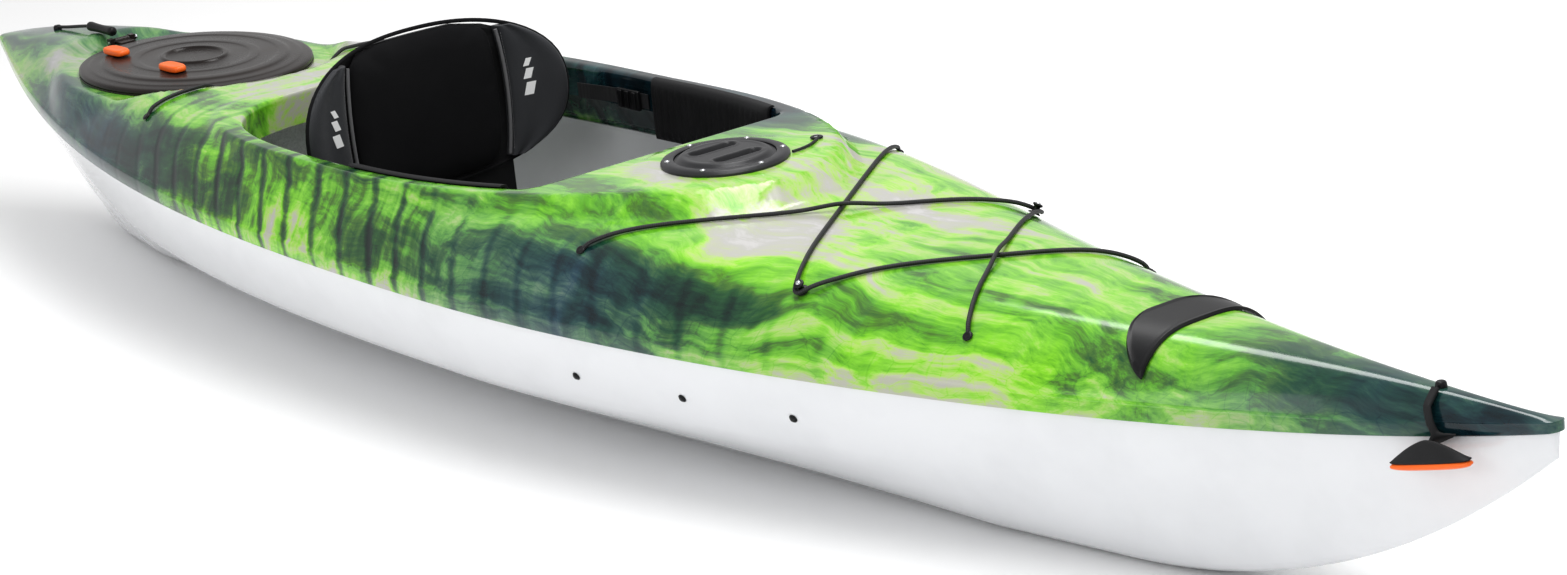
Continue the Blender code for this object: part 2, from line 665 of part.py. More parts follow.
# ---- Foot braces -------------------------------------------------------------------------
for side, word in ((1, "port"), (-1, "starboard")):
    ends = (BRACE_SCREWS_X[0] - 0.035, BRACE_SCREWS_X[-1] + 0.035)
    low_z, high_z = BRACE_Z - BRACE_TALL / 2, BRACE_Z + BRACE_TALL / 2
    start = Vector((ends[0], side * (inside_hull(ends[0], low_z) - 0.003), 0))
    stop = Vector((ends[1], side * (inside_hull(ends[1], low_z) - 0.003), 0))
    along = (stop - start).normalized()
    inward = along.cross(Vector((0, 0, 1))) * side
    middle = (start + stop) / 2
    rings = []
    for share in np.linspace(0, 1, 9):
        face = start.lerp(stop, share) + inward * BRACE_THICK
        back = side * (inside_hull(face.x, low_z) - 0.003)
        rings.append([(face.x, face.y, low_z), (face.x, back, low_z), (face.x, back, high_z),
                      (face.x, face.y, high_z)])
    rail = loft("foot_rail_" + word, rings, BLACK_MOULDED)

    def brace_box(name, x0, x1, in0, in1, z0, z1, bevel):
        """Box in the rail's own axes: along it, inwards from its outer line, and up."""
        piece = box(name, (x0, in0, z0), (x1, in1, z1), BLACK_MOULDED, bevel)
        turn = Matrix((along, inward, Vector((0, 0, 1)))).transposed()
        piece.data.transform(Matrix.Translation(middle) @ turn.to_4x4())
        if turn.determinant() < 0:
            piece.data.flip_normals()
        return piece

    for number, x in enumerate(BRACE_SCREWS_X, 1):
        point, normal = on_side(x, BRACE_Z, side, hull_tree)
        hole = cutter_drum("cut_%s_%d" % (word, number), 0.0032, point - normal * 0.006, normal, 0.036, steps=12)
        boolean(hull, hole)
        boolean(rail, hole)
        gap = 0.0009
        turned("foot_rail_screw_%s_%d" % (word, number),
               [(0, gap + 0.0032), (0.0035, gap + 0.0028), (0.0062, gap + 0.0006), (0.0062, gap), (0.0026, gap),
                (0.0026, -0.0115), (0, -0.0115)], STEEL, 14, location=point, normal=normal)
    settle(rail)
    shoe = BRACE_THICK + RUNNING
    pedal = brace_box("foot_pedal_" + word, -0.030, 0.030, shoe, shoe + 0.010, BRACE_Z - 0.020, BRACE_Z + 0.020, 0.0)
    plate = brace_box("plate", -0.026, -0.014, shoe + 0.005, shoe + 0.085, BRACE_Z - 0.050, BRACE_Z + 0.055, 0.004)
    join_by_union(pedal, plate)

# ---- Drain plug, low on the port side of the stern ---------------------------------------
DRAIN = (0.36 - HALF, 0.20)
point, normal = on_side(DRAIN[0], DRAIN[1], 1, hull_tree)
boolean(hull, cutter_drum("cut_drain", 0.0090, point, normal, 0.03, steps=20))
settle(hull)
turned("drain_plug", [(0, 0.007), (0.008, 0.007), (0.009, 0.0035), (0.0155, 0.003), (0.0165, 0.0015), (0.0165, 0.0012),
                      (0.0082, 0.0012), (0.0082, -0.010), (0, -0.010)], BLACK_MOULDED, 20,
       location=point, normal=normal)

# ---- Console hatch -----------------------------------------------------------------------
cx, cz, lid_r = CONSOLE_HATCH_X, CONSOLE_Z + TOUCH, CONSOLE_LID_R
bore = lid_r + 0.0012
turned("console_hatch_ring", [(bore, 0.008), (CONSOLE_RING_R - 0.003, 0.008), (CONSOLE_RING_R, 0.005),
                              (CONSOLE_RING_R, 0.0), (lid_r + 0.0035, 0.0), (lid_r + 0.0035, -0.020),
                              (lid_r - 0.014, -0.020), (lid_r - 0.014, -0.0165), (bore, -0.0165)],
       HATCH_BROWN, 40, location=(cx, 0, cz), closed=True)
turned("console_hatch_seal", [(lid_r - 0.003, -0.0130), (lid_r - 0.003, -0.0161), (lid_r - 0.011, -0.0161),
                              (lid_r - 0.011, -0.0130)], RUBBER, 32, location=(cx, 0, cz), closed=True)
lid = turned("console_hatch_lid", [(0, 0.011), (0.050, 0.011), (0.062, 0.009), (lid_r, 0.006), (lid_r, -0.0126),
                                   (0, -0.0126)], HATCH_BROWN, 40, location=(cx, 0, cz))
for shift in (-0.030, 0.030):
    slot = box("cut_slot", (cx + shift - 0.010, -0.040, cz - 0.003), (cx + shift + 0.010, 0.040, cz + 0.02),
               STEEL, 0.004, cutters)
    boolean(lid, slot)
settle(lid)
pivot_at(lid, (cx, 0, CONSOLE_Z))
screw_x, screw_y = 0.352, 0.142
top = clear_of_deck(screw_x, screw_y, 0.008)
turned("console_tether_screw", [(0, 0.005), (0.005, 0.0045), (0.007, 0.002), (0.007, 0.0), (0, 0.0)], STEEL, 14,
       location=(screw_x, screw_y, top))
tether = []
from_x, from_y = cx + (CONSOLE_RING_R + 0.003) * cos(0.9), (CONSOLE_RING_R + 0.003) * sin(0.9)
for share in np.linspace(0.0, 1.0, 7):
    x, y = from_x + (screw_x + 0.0105 - from_x) * share, from_y + (screw_y - 0.004 - from_y) * share
    tether.append((x, y, on_deck(x, y)[0].z + 0.0036))
tube("console_hatch_tether", tether, 0.002, CORD)

# ---- Stern hatch -------------------------------------------------------------------------
hx, hz = STERN_HATCH_X, STERN_HATCH_Z + TOUCH
wide, stretch = STERN_HATCH_B, STERN_HATCH_A / STERN_HATCH_B
turned("stern_hatch_rim", [(wide - 0.028, 0.008), (wide - 0.022, 0.008), (wide - 0.020, 0.003), (wide + 0.001, 0.003),
                           (wide + 0.001, 0.0), (wide - 0.028, 0.0)], HATCH_BROWN, 44, stretch, (hx, 0, hz), closed=True)
turned("stern_hatch_seal", [(wide - 0.007, 0.0062), (wide - 0.007, 0.0034), (wide - 0.015, 0.0034),
                            (wide - 0.015, 0.0062)], RUBBER, 36, stretch, (hx, 0, hz), closed=True)
LID_TOP = 0.0190
lid = turned("stern_hatch_lid", [(0, 0.0230), (wide * 0.25, 0.0228), (wide * 0.29, LID_TOP), (wide * 0.78, LID_TOP),
                                 (wide * 0.82, 0.0160), (wide * 0.97, 0.0130), (wide, 0.0100), (wide, 0.0036),
                                 (wide - 0.004, 0.0036), (wide - 0.005, 0.0070), (wide - 0.017, 0.0070),
                                 (wide - 0.019, 0.0100), (0, 0.0100)], HATCH_BROWN, 40, stretch, (hx, 0, hz))
hinge_x = hx - STERN_HATCH_A - 0.014
hinge_z = hz + 0.0135
tongue = box("tongue", (hinge_x - 0.006, -0.014, hinge_z - 0.006), (hx - STERN_HATCH_A + 0.012, 0.014, hinge_z + 0.004),
             HATCH_BROWN, 0.0015)
join_by_union(lid, tongue)
hinge_bore = cutter_drum("cut_hinge_pin", 0.0025 + RUNNING, (hinge_x, 0, hinge_z), (0, 1, 0), 0.12, steps=14)
boolean(lid, hinge_bore)
settle(lid)
pivot_at(lid, (hinge_x, 0, hinge_z))
bracket = box("stern_hatch_hinge", (hinge_x - 0.009, -0.026, hz), (hinge_x + 0.006, 0.026, hz + 0.0035), HATCH_BROWN)
for side in (1, -1):
    ear = box("ear", (hinge_x - 0.007, min(side * 0.016, side * 0.024), hz + 0.001),
              (hinge_x + 0.005, max(side * 0.016, side * 0.024), hinge_z + 0.006), HATCH_BROWN)
    join_by_union(bracket, ear)
boolean(bracket, hinge_bore)
settle(bracket)
turned("stern_hatch_hinge_pin", [(0, 0.029), (0.0045, 0.029), (0.0045, 0.0265), (0.0025, 0.0265), (0.0025, -0.0255),
                                 (0, -0.0255)], STEEL, 14, location=(hinge_x, 0, hinge_z), normal=(0, 1, 0))
for word, x, y in (("aft", hx - 0.140, -0.070), ("fore", hx + 0.060, -0.077)):
    base = hz + LID_TOP + TOUCH
    latch = turned("hatch_latch_" + word, [(0, 0.010), (0.008, 0.010), (0.012, 0.008), (0.014, 0.003), (0.014, 0.0),
                                           (0, 0.0)], ORANGE, 20, 2.2, (x, y, base))
    pivot_at(latch, (x, y, base))


# ---- Deck rigging ------------------------------------------------------------------------
def fitting(name, profile, x, y, material, steps=16, lift=0.0008):
    """Turned fitting that stands on the deck, square to it."""
    point, normal = on_deck(x, y)
    turned(name, profile, material, steps, location=point + normal * lift, normal=normal)
    return point, normal


GROMMET = [(0, 0.0025), (0.004, 0.0025), (0.0065, 0.0015), (0.0065, 0.0), (0, 0.0)]
HOOK = [(0, 0.0145), (0.0065, 0.0145), (0.0075, 0.0125), (0.0040, 0.0110), (0.0038, 0.0030), (0.0085, 0.0020),
        (0.0085, 0.0), (0, 0.0)]


def deck_cord(plan, hump=0.0, hump_at=()):
    """Route over plan points that lies on the deck and clears it between its points."""
    rise = []
    for x, y in plan:
        height = CORD_R + 0.0012
        for mark in hump_at:
            height += hump * np.exp(-((x - mark) / 0.022) ** 2)
        rise.append(on_deck(x, y)[0].z + height)
    for k in range(len(plan) - 1):
        for share in (0.25, 0.5, 0.75):
            x = plan[k][0] + (plan[k + 1][0] - plan[k][0]) * share
            y = plan[k][1] + (plan[k + 1][1] - plan[k][1]) * share
            need = on_deck(x, y)[0].z + CORD_R + 0.0008 - (rise[k] + (rise[k + 1] - rise[k]) * share)
            if need > 0:
                rise[k] += need
                rise[k + 1] += need
    return [Vector((x, y, z)) for (x, y), z in zip(plan, rise)]


def straight_plan(start, stop, count):
    return [(start[0] + (stop[0] - start[0]) * k / count, start[1] + (stop[1] - start[1]) * k / count)
            for k in range(count + 1)]


crossings = []
for (x0, y0), (x1, y1) in zip(RIG, RIG[1:]):
    crossings.append(x0 + (x1 - x0) * y0 / (y0 + y1))
for side, word, hook_word in ((-1, "over", "port"), (1, "under", "starboard")):
    aft, turn, fore = RIG
    hook = (turn[0], -side * (turn[1] - 0.008))
    round_hook = [(turn[0] + 0.0095 * sin(radians(a)), hook[1] - side * 0.0095 * cos(radians(a)))
                  for a in (-60, -30, 0, 30, 60)]
    plan = straight_plan((aft[0] + 0.004, side * (aft[1] - 0.003)), round_hook[0], 18)[:-1] + round_hook
    plan += straight_plan(round_hook[-1], (fore[0] - 0.004, side * (fore[1] - 0.003)), 12)[1:]
    route = deck_cord(plan, hump=2 * CORD_R + 0.0022 if word == "over" else 0.0, hump_at=crossings)
    for k, (x, y) in enumerate(plan):
        near = np.hypot(x - hook[0], y - hook[1])
        route[k] = route[k] + on_deck(x, y)[1] * 0.0030 * float(1 - smooth(near, 0.012, 0.05))
    for end in (0, -1):
        normal = on_deck(*plan[end])[1]
        route[end] = route[end] + normal * 0.0045
    tube("bow_bungee_" + word, route, CORD_R, CORD, 1)
    fitting("bungee_hook_" + hook_word, HOOK, hook[0], hook[1], BLACK_MOULDED)
    side_word = "port" if side > 0 else "starboard"
    fitting("bungee_grommet_aft_" + side_word, GROMMET, aft[0], side * aft[1], BLACK_MOULDED)
    fitting("bungee_grommet_fore_" + side_word, GROMMET, fore[0], side * fore[1], BLACK_MOULDED)

cord_x, cord_y = STERN_CORD
stern_plan = straight_plan((cord_x, -cord_y + 0.003), (cord_x, cord_y - 0.003), 16)
stern_route = deck_cord(stern_plan)
for end in (0, -1):
    stern_route[end] = stern_route[end] + on_deck(*stern_plan[end])[1] * 0.0045
tube("stern_bungee", stern_route, CORD_R, CORD, 1)
for side, word in ((1, "port"), (-1, "starboard")):
    fitting("stern_bungee_eye_" + word, GROMMET, cord_x, side * cord_y, BLACK_MOULDED)

# ---- Carry handles -----------------------------------------------------------------------
ANCHOR = [(0, 0.0070), (0.0040, 0.0070), (0.0062, 0.0050), (0.0070, 0.0015), (0.0070, 0.0), (0, 0.0)]
BOW_HANDLE_X = HALF - 0.178
fitting("bow_handle_anchor", ANCHOR, BOW_HANDLE_X, 0.0, BLACK_MOULDED, lift=0.0006)
strap = []
point, normal = on_deck(BOW_HANDLE_X + 0.003, -0.0145)
strap.append(point + normal * 0.0050)
for z, ahead in ((0.295, 0.006), (0.284, 0.010), (0.273, 0.015), (0.263, 0.019)):
    point, _ = on_side(BOW_HANDLE_X + ahead, z, -1)
    strap.append(point + Vector((0, -0.0092, 0)))
tube("bow_handle_strap", strap, 0.0028, WEBBING, 2)
grip_x, grip_z = BOW_HANDLE_X + 0.021, 0.248
point, normal = on_side(grip_x - 0.04, grip_z + 0.012, -1)
grip_y = point.y - 0.0165
turned("bow_handle_grip", [(0, 0.058), (0.008, 0.056), (0.012, 0.040), (0.0125, 0.0), (0.012, -0.040), (0.008, -0.056),
                           (0, -0.058)], ORANGE, 18, location=(grip_x + 0.004, grip_y, grip_z), normal=(0.97, 0.12, 0.20))
bow_axis = Vector((BOW_HANDLE_X, 0, float(deck_z(BOW_HANDLE_X, 0))))
pivot_at(bpy.data.objects["bow_handle_grip"], bow_axis)

STERN_HANDLE_X = 0.21 - HALF
fitting("stern_handle_anchor", ANCHOR, STERN_HANDLE_X, 0.0, BLACK_MOULDED, lift=0.0006)
toggle_r = 0.009
toggle_x = (STERN_HANDLE_X + 0.120, STERN_HANDLE_X + 0.208)
toggle_z = max(clear_of_deck(x, 0.0, 0.012) for x in np.linspace(toggle_x[0] - 0.004, toggle_x[1] + 0.004, 6)) + toggle_r
toggle_mid = (toggle_x[0] + toggle_x[1]) / 2
toggle_half = (toggle_x[1] - toggle_x[0]) / 2
turned("stern_handle_toggle", [(0, toggle_half), (toggle_r * 0.7, toggle_half), (toggle_r, toggle_half - 0.006),
                               (toggle_r * 0.8, 0.0), (toggle_r, -toggle_half + 0.006), (toggle_r * 0.7, -toggle_half),
                               (0, -toggle_half)], BLACK_MOULDED, 16, location=(toggle_mid, 0, toggle_z), normal=(1, 0, 0))
cord = []
for share in np.linspace(0, 1, 7):
    x = STERN_HANDLE_X + 0.0115 + (toggle_x[0] - 0.0006 - STERN_HANDLE_X - 0.0115) * share
    base = on_deck(x, 0.0)[0].z + 0.0045
    cord.append((x, 0.0, base + (toggle_z - base) * share**2 + 0.001))
cord[-1] = (cord[-1][0], 0.0, toggle_z)
tube("stern_handle_cord", cord, 0.0028, CORD, 2)
pivot_at(bpy.data.objects["stern_handle_toggle"], (STERN_HANDLE_X, 0, float(deck_z(STERN_HANDLE_X, 0))))

# ---- Badge plate on the foredeck ---------------------------------------------------------
badge_x, badge_long = HALF - 0.562, -0.078
badge_half = 0.87 * float(gunwale_half(badge_x))
badge = []
for x in np.linspace(badge_x, badge_x + badge_long * 0.985, 7):
    reach = badge_half * (1 - ((x - badge_x) / badge_long) ** 2) ** 0.5
    under = [on_deck(x, y) for y in np.linspace(-reach, reach, 11)]
    low = [point + normal * 0.0026 for point, normal in under]
    high = [point + normal * 0.0054 for point, normal in reversed(under)]
    badge.append(low + high)
loft("bow_badge_plate", badge, BLACK_MOULDED)
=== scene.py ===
"""The finished look of a twelve-foot recreational kayak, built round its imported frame."""
from math import cos, pi, radians, sin

import bmesh
import bpy
import numpy as np
from mathutils import Matrix, Vector


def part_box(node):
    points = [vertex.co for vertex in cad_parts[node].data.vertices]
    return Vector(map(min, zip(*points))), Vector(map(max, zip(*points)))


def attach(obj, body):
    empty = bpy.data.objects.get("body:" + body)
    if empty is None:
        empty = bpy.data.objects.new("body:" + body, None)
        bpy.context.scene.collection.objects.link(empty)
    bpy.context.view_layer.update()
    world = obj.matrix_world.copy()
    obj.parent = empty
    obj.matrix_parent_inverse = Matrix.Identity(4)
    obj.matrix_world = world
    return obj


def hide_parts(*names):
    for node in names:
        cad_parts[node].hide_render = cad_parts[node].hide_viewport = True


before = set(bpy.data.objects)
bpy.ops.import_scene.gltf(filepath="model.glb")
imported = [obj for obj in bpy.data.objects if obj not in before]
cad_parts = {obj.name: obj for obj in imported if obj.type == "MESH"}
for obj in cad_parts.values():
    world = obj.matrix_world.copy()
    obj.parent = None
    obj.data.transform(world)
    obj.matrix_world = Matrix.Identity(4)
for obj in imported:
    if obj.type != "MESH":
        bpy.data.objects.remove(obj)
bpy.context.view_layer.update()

# ---- Studio ------------------------------------------------------------------------------
# A pale sweep of floor under broad soft boxes, so that the gloss shells show long, quiet
# highlights. The camera stands off the starboard bow and looks back along the boat.


def node(tree, kind, inputs=None, **settings):
    """Add a shader node, with its settings and its inputs given as values or sockets."""
    made = tree.nodes.new(kind)
    for key, value in settings.items():
        setattr(made, key, value)
    for key, value in (inputs or {}).items():
        if isinstance(value, bpy.types.NodeSocket):
            tree.links.new(value, made.inputs[key])
        else:
            made.inputs[key].default_value = value
    return made


def finish_named(name, roughness, metallic=0.0):
    """A new material with its tree and its Principled shader."""
    material = bpy.data.materials.new(name)
    material.use_nodes = True
    shader = material.node_tree.nodes["Principled BSDF"]
    shader.inputs["Roughness"].default_value = roughness
    shader.inputs["Metallic"].default_value = metallic
    return material, material.node_tree, shader


def collect(name, mesh, material):
    obj = bpy.data.objects.new(name, mesh)
    bpy.context.scene.collection.objects.link(obj)
    mesh.materials.clear()
    mesh.materials.append(material)
    return obj


paper, tree, shader = finish_named("studio_paper", 0.9)
mottle = node(tree, "ShaderNodeTexNoise", {"Scale": 0.7, "Detail": 2.0})
tone = node(tree, "ShaderNodeMapRange", {"Value": mottle.outputs["Fac"], "To Min": 0.93, "To Max": 0.96})
tree.links.new(tone.outputs["Result"], shader.inputs["Base Color"])
sweep_mesh = bpy.data.meshes.new("studio_floor")
reach = 40.0
sweep_mesh.from_pydata([(-reach, -reach, -0.001), (reach, -reach, -0.001), (reach, reach, -0.001),
                        (-reach, reach, -0.001)], [], [(0, 1, 2, 3)])
collect("studio_floor", sweep_mesh, paper)

world = bpy.data.worlds.new("studio_air")
world.use_nodes = True
world.node_tree.nodes["Background"].inputs["Color"].default_value = (1.0, 1.0, 1.0, 1.0)
world.node_tree.nodes["Background"].inputs["Strength"].default_value = 0.62
bpy.context.scene.world = world
bpy.context.scene.view_settings.view_transform = "Standard"
bpy.context.scene.view_settings.look = "Medium High Contrast"


def soft_box(name, place, target, size, watts):
    light = bpy.data.lights.new(name, "AREA")
    light.shape = "RECTANGLE"
    light.size, light.size_y = size
    light.energy = watts
    lamp = bpy.data.objects.new(name, light)
    aim = Vector(target) - Vector(place)
    lamp.matrix_world = Matrix.Translation(place) @ aim.to_track_quat("-Z", "Y").to_matrix().to_4x4()
    bpy.context.scene.collection.objects.link(lamp)


soft_box("overhead_box", (0.3, 0.4, 3.2), (0.0, 0.0, 0.2), (4.6, 1.0), 78.0)
soft_box("starboard_box", (1.2, -4.2, 2.0), (0.1, 0.0, 0.2), (3.6, 1.2), 26.0)
soft_box("bow_box", (5.0, 1.5, 2.2), (0.8, 0.0, 0.2), (1.8, 1.8), 16.0)

CAMERA_AT = Vector((4.6445, -3.1630, 1.8181))
HEADING, PITCH, ROLL = 2.4980, -0.2957, -0.1033
ahead = Vector((cos(PITCH) * cos(HEADING), cos(PITCH) * sin(HEADING), sin(PITCH)))
level = Vector((sin(HEADING), -cos(HEADING), 0.0))
above = level.cross(ahead)
right = level * cos(ROLL) + above * sin(ROLL)
top = above * cos(ROLL) - level * sin(ROLL)
camera = bpy.data.objects.new("camera", bpy.data.cameras.new("camera"))
camera.data.sensor_width = 36.0
camera.data.lens = 91.54
camera.data.clip_end = 200.0
camera.matrix_world = Matrix.Translation(CAMERA_AT) @ Matrix((right, top, -ahead)).transposed().to_4x4()
bpy.context.scene.collection.objects.link(camera)
bpy.context.scene.camera = camera

# ---- Hull --------------------------------------------------------------------------------
# The lower half of the boat: one thermoformed sheet of white gloss ABS. Its top edge stands
# inside the deck's skirt, and its flat keel panel is what the boat rests on.
deck_low, deck_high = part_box("deck_shell")
hull_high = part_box("hull_shell")[1]
HALF = deck_high[0]
HALF_BEAM = deck_high[1]
SEAM_Z = deck_low[2] + 0.003
WIDEST_X = 0.018
BAND = 0.026
HULL_END = hull_high[0]
HULL_INSET = 0.0052
WALL = 0.004
KEEL_RISE_FORE, KEEL_RISE_AFT = 1.157, 1.38    # distances from the origin where the keel starts to rise
CHINE_END_FORE, CHINE_END_AFT = 1.576, 1.62    # and where the chine closes
CHINE_HALF, CHINE_Z, KEEL_FLAT = 0.298, 0.091, 0.085


def station(x):
    """Share of the way from the widest station to the nearer tip, and whether it is the bow."""
    x = np.asarray(x, float)
    fore = x > WIDEST_X
    share = np.where(fore, (x - WIDEST_X) / (HALF - WIDEST_X), (WIDEST_X - x) / (HALF + WIDEST_X))
    return np.clip(share, 0.0, 1.0), fore


def gunwale_half(x):
    t, fore = station(x)
    plan = np.where(fore, (1 - t**1.97) ** 1.66, (1 - t**2.53) ** 1.08)
    return HALF_BEAM * plan + 0.014 * t**3


def gunwale_z(x):
    t, fore = station(x)
    return SEAM_Z + np.where(fore, -0.024 * t**2 + 0.098 * t**5, 0.019 * t**2 + 0.039 * t**5)


def band(x):
    t, _ = station(x)
    return BAND * (1 - 0.5 * t**6)


def keel_z(x):
    fore = np.clip((x - KEEL_RISE_FORE) / (HALF - KEEL_RISE_FORE), 0, 1)
    aft = np.clip((-x - KEEL_RISE_AFT) / (HALF - KEEL_RISE_AFT), 0, 1)
    return (gunwale_z(HALF) - 0.028) * fore**2.07 + (gunwale_z(-HALF) - 0.028) * aft**1.3


def cut_corners(points, rounds):
    """Round a run of control points by cutting its corners, and keep both ends."""
    for _ in range(rounds):
        rounded = [points[0]]
        for one, two in zip(points, points[1:]):
            rounded.append(one * 0.78 + two * 0.22)
            rounded.append(one * 0.22 + two * 0.78)
        points = rounded + [points[-1]]
    return points


def hull_section(x):
    """Half section of the outer skin from the keel to the flange, softly creased at the chine."""
    side = float(gunwale_half(x)) - HULL_INSET
    low, high = float(keel_z(x)), float(gunwale_z(x))
    fore = x > WIDEST_X
    if fore:
        share = (x - WIDEST_X) / (CHINE_END_FORE - WIDEST_X)
    else:
        share = (WIDEST_X - x) / (CHINE_END_AFT + WIDEST_X)
    power, rise = (1.63, 0.049) if fore else (2.59, 0.014)
    chine = max(CHINE_HALF * max(0.0, 1 - share**power), 0.5 * side)
    chine_z = max(CHINE_Z + rise * share**2, low + 0.35 * (high - low))
    flat = min(KEEL_FLAT, 0.5 * chine)
    rows = [(0.0, low), (flat, low),
            ((flat + chine) / 2 + 0.004 * chine / CHINE_HALF, low + 0.42 * (chine_z - low))]
    for part in (0.0, 0.33, 0.67, 1.0):
        bulge = 0.006 * sin(pi * part) * min(1.0, side / 0.1)
        rows.append((chine + part * (side - chine) + bulge, chine_z + part * (high - chine_z)))
    rows.append((side, high + 0.6 * float(band(x))))
    nose = max(0.0, 1 - max(0.0, (abs(x) - HULL_END + 0.008) / 0.008) ** 2) ** 0.5
    return [(y * nose, z) for y, z in cut_corners([np.array(row) for row in rows], 2)]


def half_shell(name, columns, skip, wall, material):
    """Port half of a skin from columns of points, mirrored and given its wall inwards."""
    points = np.array(columns)
    count = points.shape[1]
    faces = []
    for k in range(len(columns) - 1):
        for j in range(skip(k), count - 1):
            a = k * count + j
            faces.append((a, a + 1, a + 1 + count, a + count))
    mesh = bpy.data.meshes.new(name)
    mesh.from_pydata(points.reshape(-1, 3).tolist(), [], faces)
    shape = bmesh.new()
    shape.from_mesh(mesh)
    bmesh.ops.delete(shape, geom=[v for v in shape.verts if not v.link_faces], context="VERTS")
    bmesh.ops.remove_doubles(shape, verts=shape.verts, dist=0.00001)
    bmesh.ops.recalc_face_normals(shape, faces=shape.faces)
    if sum(face.normal.y * face.calc_area() for face in shape.faces) < 0:
        bmesh.ops.reverse_faces(shape, faces=shape.faces)
    shape.to_mesh(mesh)
    shape.free()
    obj = collect(name, mesh, material)
    mirror = obj.modifiers.new("other side", "MIRROR")
    mirror.use_axis = (False, True, False)
    mirror.merge_threshold = 0.0001
    solid = obj.modifiers.new("wall", "SOLIDIFY")
    solid.thickness = wall
    solid.offset = -1.0
    return obj


def applied(obj, crease=40):
    """Apply the modifiers and shade the mesh smooth up to a crease."""
    graph = bpy.context.evaluated_depsgraph_get()
    graph.update()
    mesh = bpy.data.meshes.new_from_object(obj.evaluated_get(graph))
    obj.modifiers.clear()
    obj.data = mesh
    mesh.shade_smooth()
    mesh.set_sharp_from_angle(angle=radians(crease))
    return obj


def node_group(name, tree_kind, takes, gives):
    """A node group with its sockets: its tree, what it is given, its outlets and its input ids."""
    group = bpy.data.node_groups.new(name, tree_kind)
    ids = {}
    for label, kind in takes:
        socket = group.interface.new_socket(label, in_out="INPUT", socket_type="NodeSocket" + kind)
        ids[label] = socket.identifier
    for label, kind in gives:
        group.interface.new_socket(label, in_out="OUTPUT", socket_type="NodeSocket" + kind)
    given = group.nodes.new("NodeGroupInput").outputs
    out = group.nodes.new("NodeGroupOutput").inputs
    return group, given, out, ids


def moulded_skin_group():
    """Grain, faint mottling and rubbed spots that every moulded or formed plastic piece shows."""
    takes = (("Colour", "Color"), ("Rubbed Colour", "Color"), ("Roughness", "Float"),
             ("Grain Scale", "Float"), ("Grain Height", "Float"))
    gives = (("Colour", "Color"), ("Roughness", "Float"), ("Normal", "Vector"))
    group, given, out, _ = node_group("moulded_skin", "ShaderNodeTree", takes, gives)
    place = node(group, "ShaderNodeTexCoord").outputs["Object"]
    cloud = node(group, "ShaderNodeTexNoise", {"Vector": place, "Scale": 9.0, "Detail": 5.0}).outputs["Fac"]
    grain = node(group, "ShaderNodeTexNoise",
                 {"Vector": place, "Scale": given["Grain Scale"], "Detail": 3.0})
    rubbed = node(group, "ShaderNodeMapRange", {"Value": cloud, "From Min": 0.45, "From Max": 0.8})
    colour = node(group, "ShaderNodeMix", {0: rubbed.outputs["Result"], 6: given["Colour"],
                                           7: given["Rubbed Colour"]}, data_type="RGBA")
    swing = node(group, "ShaderNodeMapRange", {"Value": cloud, "To Min": -0.06, "To Max": 0.10})
    rough = node(group, "ShaderNodeMath", {0: given["Roughness"], 1: swing.outputs["Result"]},
                 operation="ADD")
    bump = node(group, "ShaderNodeBump", {"Height": grain.outputs["Fac"], "Distance": given["Grain Height"],
                                          "Strength": 0.5})
    group.links.new(colour.outputs[2], out["Colour"])
    group.links.new(rough.outputs["Value"], out["Roughness"])
    group.links.new(bump.outputs["Normal"], out["Normal"])
    return group


moulded_skin = moulded_skin_group()


def moulded(name, colour, rubbed, roughness, grain_scale, grain_height, metallic=0.0):
    """A moulded finish: the shared skin in front of a plain shader. Dark plastics shine less."""
    material, tree, shader = finish_named(name, roughness, metallic)
    shader.inputs["Specular IOR Level"].default_value = 0.5 if max(colour) > 0.2 else 0.3
    skin_node = node(tree, "ShaderNodeGroup", node_tree=moulded_skin)
    skin_node.inputs["Colour"].default_value = (*colour, 1.0)
    skin_node.inputs["Rubbed Colour"].default_value = (*rubbed, 1.0)
    skin_node.inputs["Roughness"].default_value = roughness
    skin_node.inputs["Grain Scale"].default_value = grain_scale
    skin_node.inputs["Grain Height"].default_value = grain_height
    tree.links.new(skin_node.outputs["Colour"], shader.inputs["Base Color"])
    tree.links.new(skin_node.outputs["Roughness"], shader.inputs["Roughness"])
    tree.links.new(skin_node.outputs["Normal"], shader.inputs["Normal"])
    return material


hull_white = moulded("hull_white_gloss", (0.73, 0.74, 0.76), (0.68, 0.69, 0.71), 0.14, 160.0, 0.00012)
hull_white.node_tree.nodes["Principled BSDF"].inputs["Coat Weight"].default_value = 0.4
hull_white.node_tree.nodes["Principled BSDF"].inputs["Coat Roughness"].default_value = 0.06

HULL_TIP = (0.0, 0.001, 0.0025, 0.0045, 0.008, 0.014, 0.022)
hull_x = [-HULL_END + s for s in HULL_TIP]
hull_x += list(np.linspace(-HULL_END + 0.034, HULL_END - 0.034, 180))
hull_x += [HULL_END - s for s in reversed(HULL_TIP)]
hull_columns = [[(x, y, z) for y, z in hull_section(x)] for x in hull_x]
hull = applied(half_shell("hull_skin", hull_columns, lambda k: 0, WALL, hull_white))
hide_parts("hull_shell")
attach(hull, "boat")

# ---- Deck --------------------------------------------------------------------------------
# The upper half: a thermoformed sheet whose colours were swirled before it was formed, so
# they run in streaks along the boat and are drawn into ribs down the steep cockpit sides.
COAMING_X, COAMING_HALF, COAMING_AFT, COAMING_FORE = -0.20, 0.315, 0.56, 0.70
COAMING_Z, CONSOLE_Z = 0.358, 0.381
LIP, FLANGE, CONSOLE_AFT = 0.040, 0.052, 0.172
OVAL_FORE, OVAL_AFT = 2.1, 3.6    # powers of the two halves of the cockpit's oval
CONSOLE_HATCH_X, CONSOLE_RING_R, CONSOLE_LID_R = 0.325, 0.091, 0.0712
STERN_HATCH_X, STERN_HATCH_Z, STERN_HATCH_A, STERN_HATCH_B = -1.14, 0.322, 0.235, 0.180


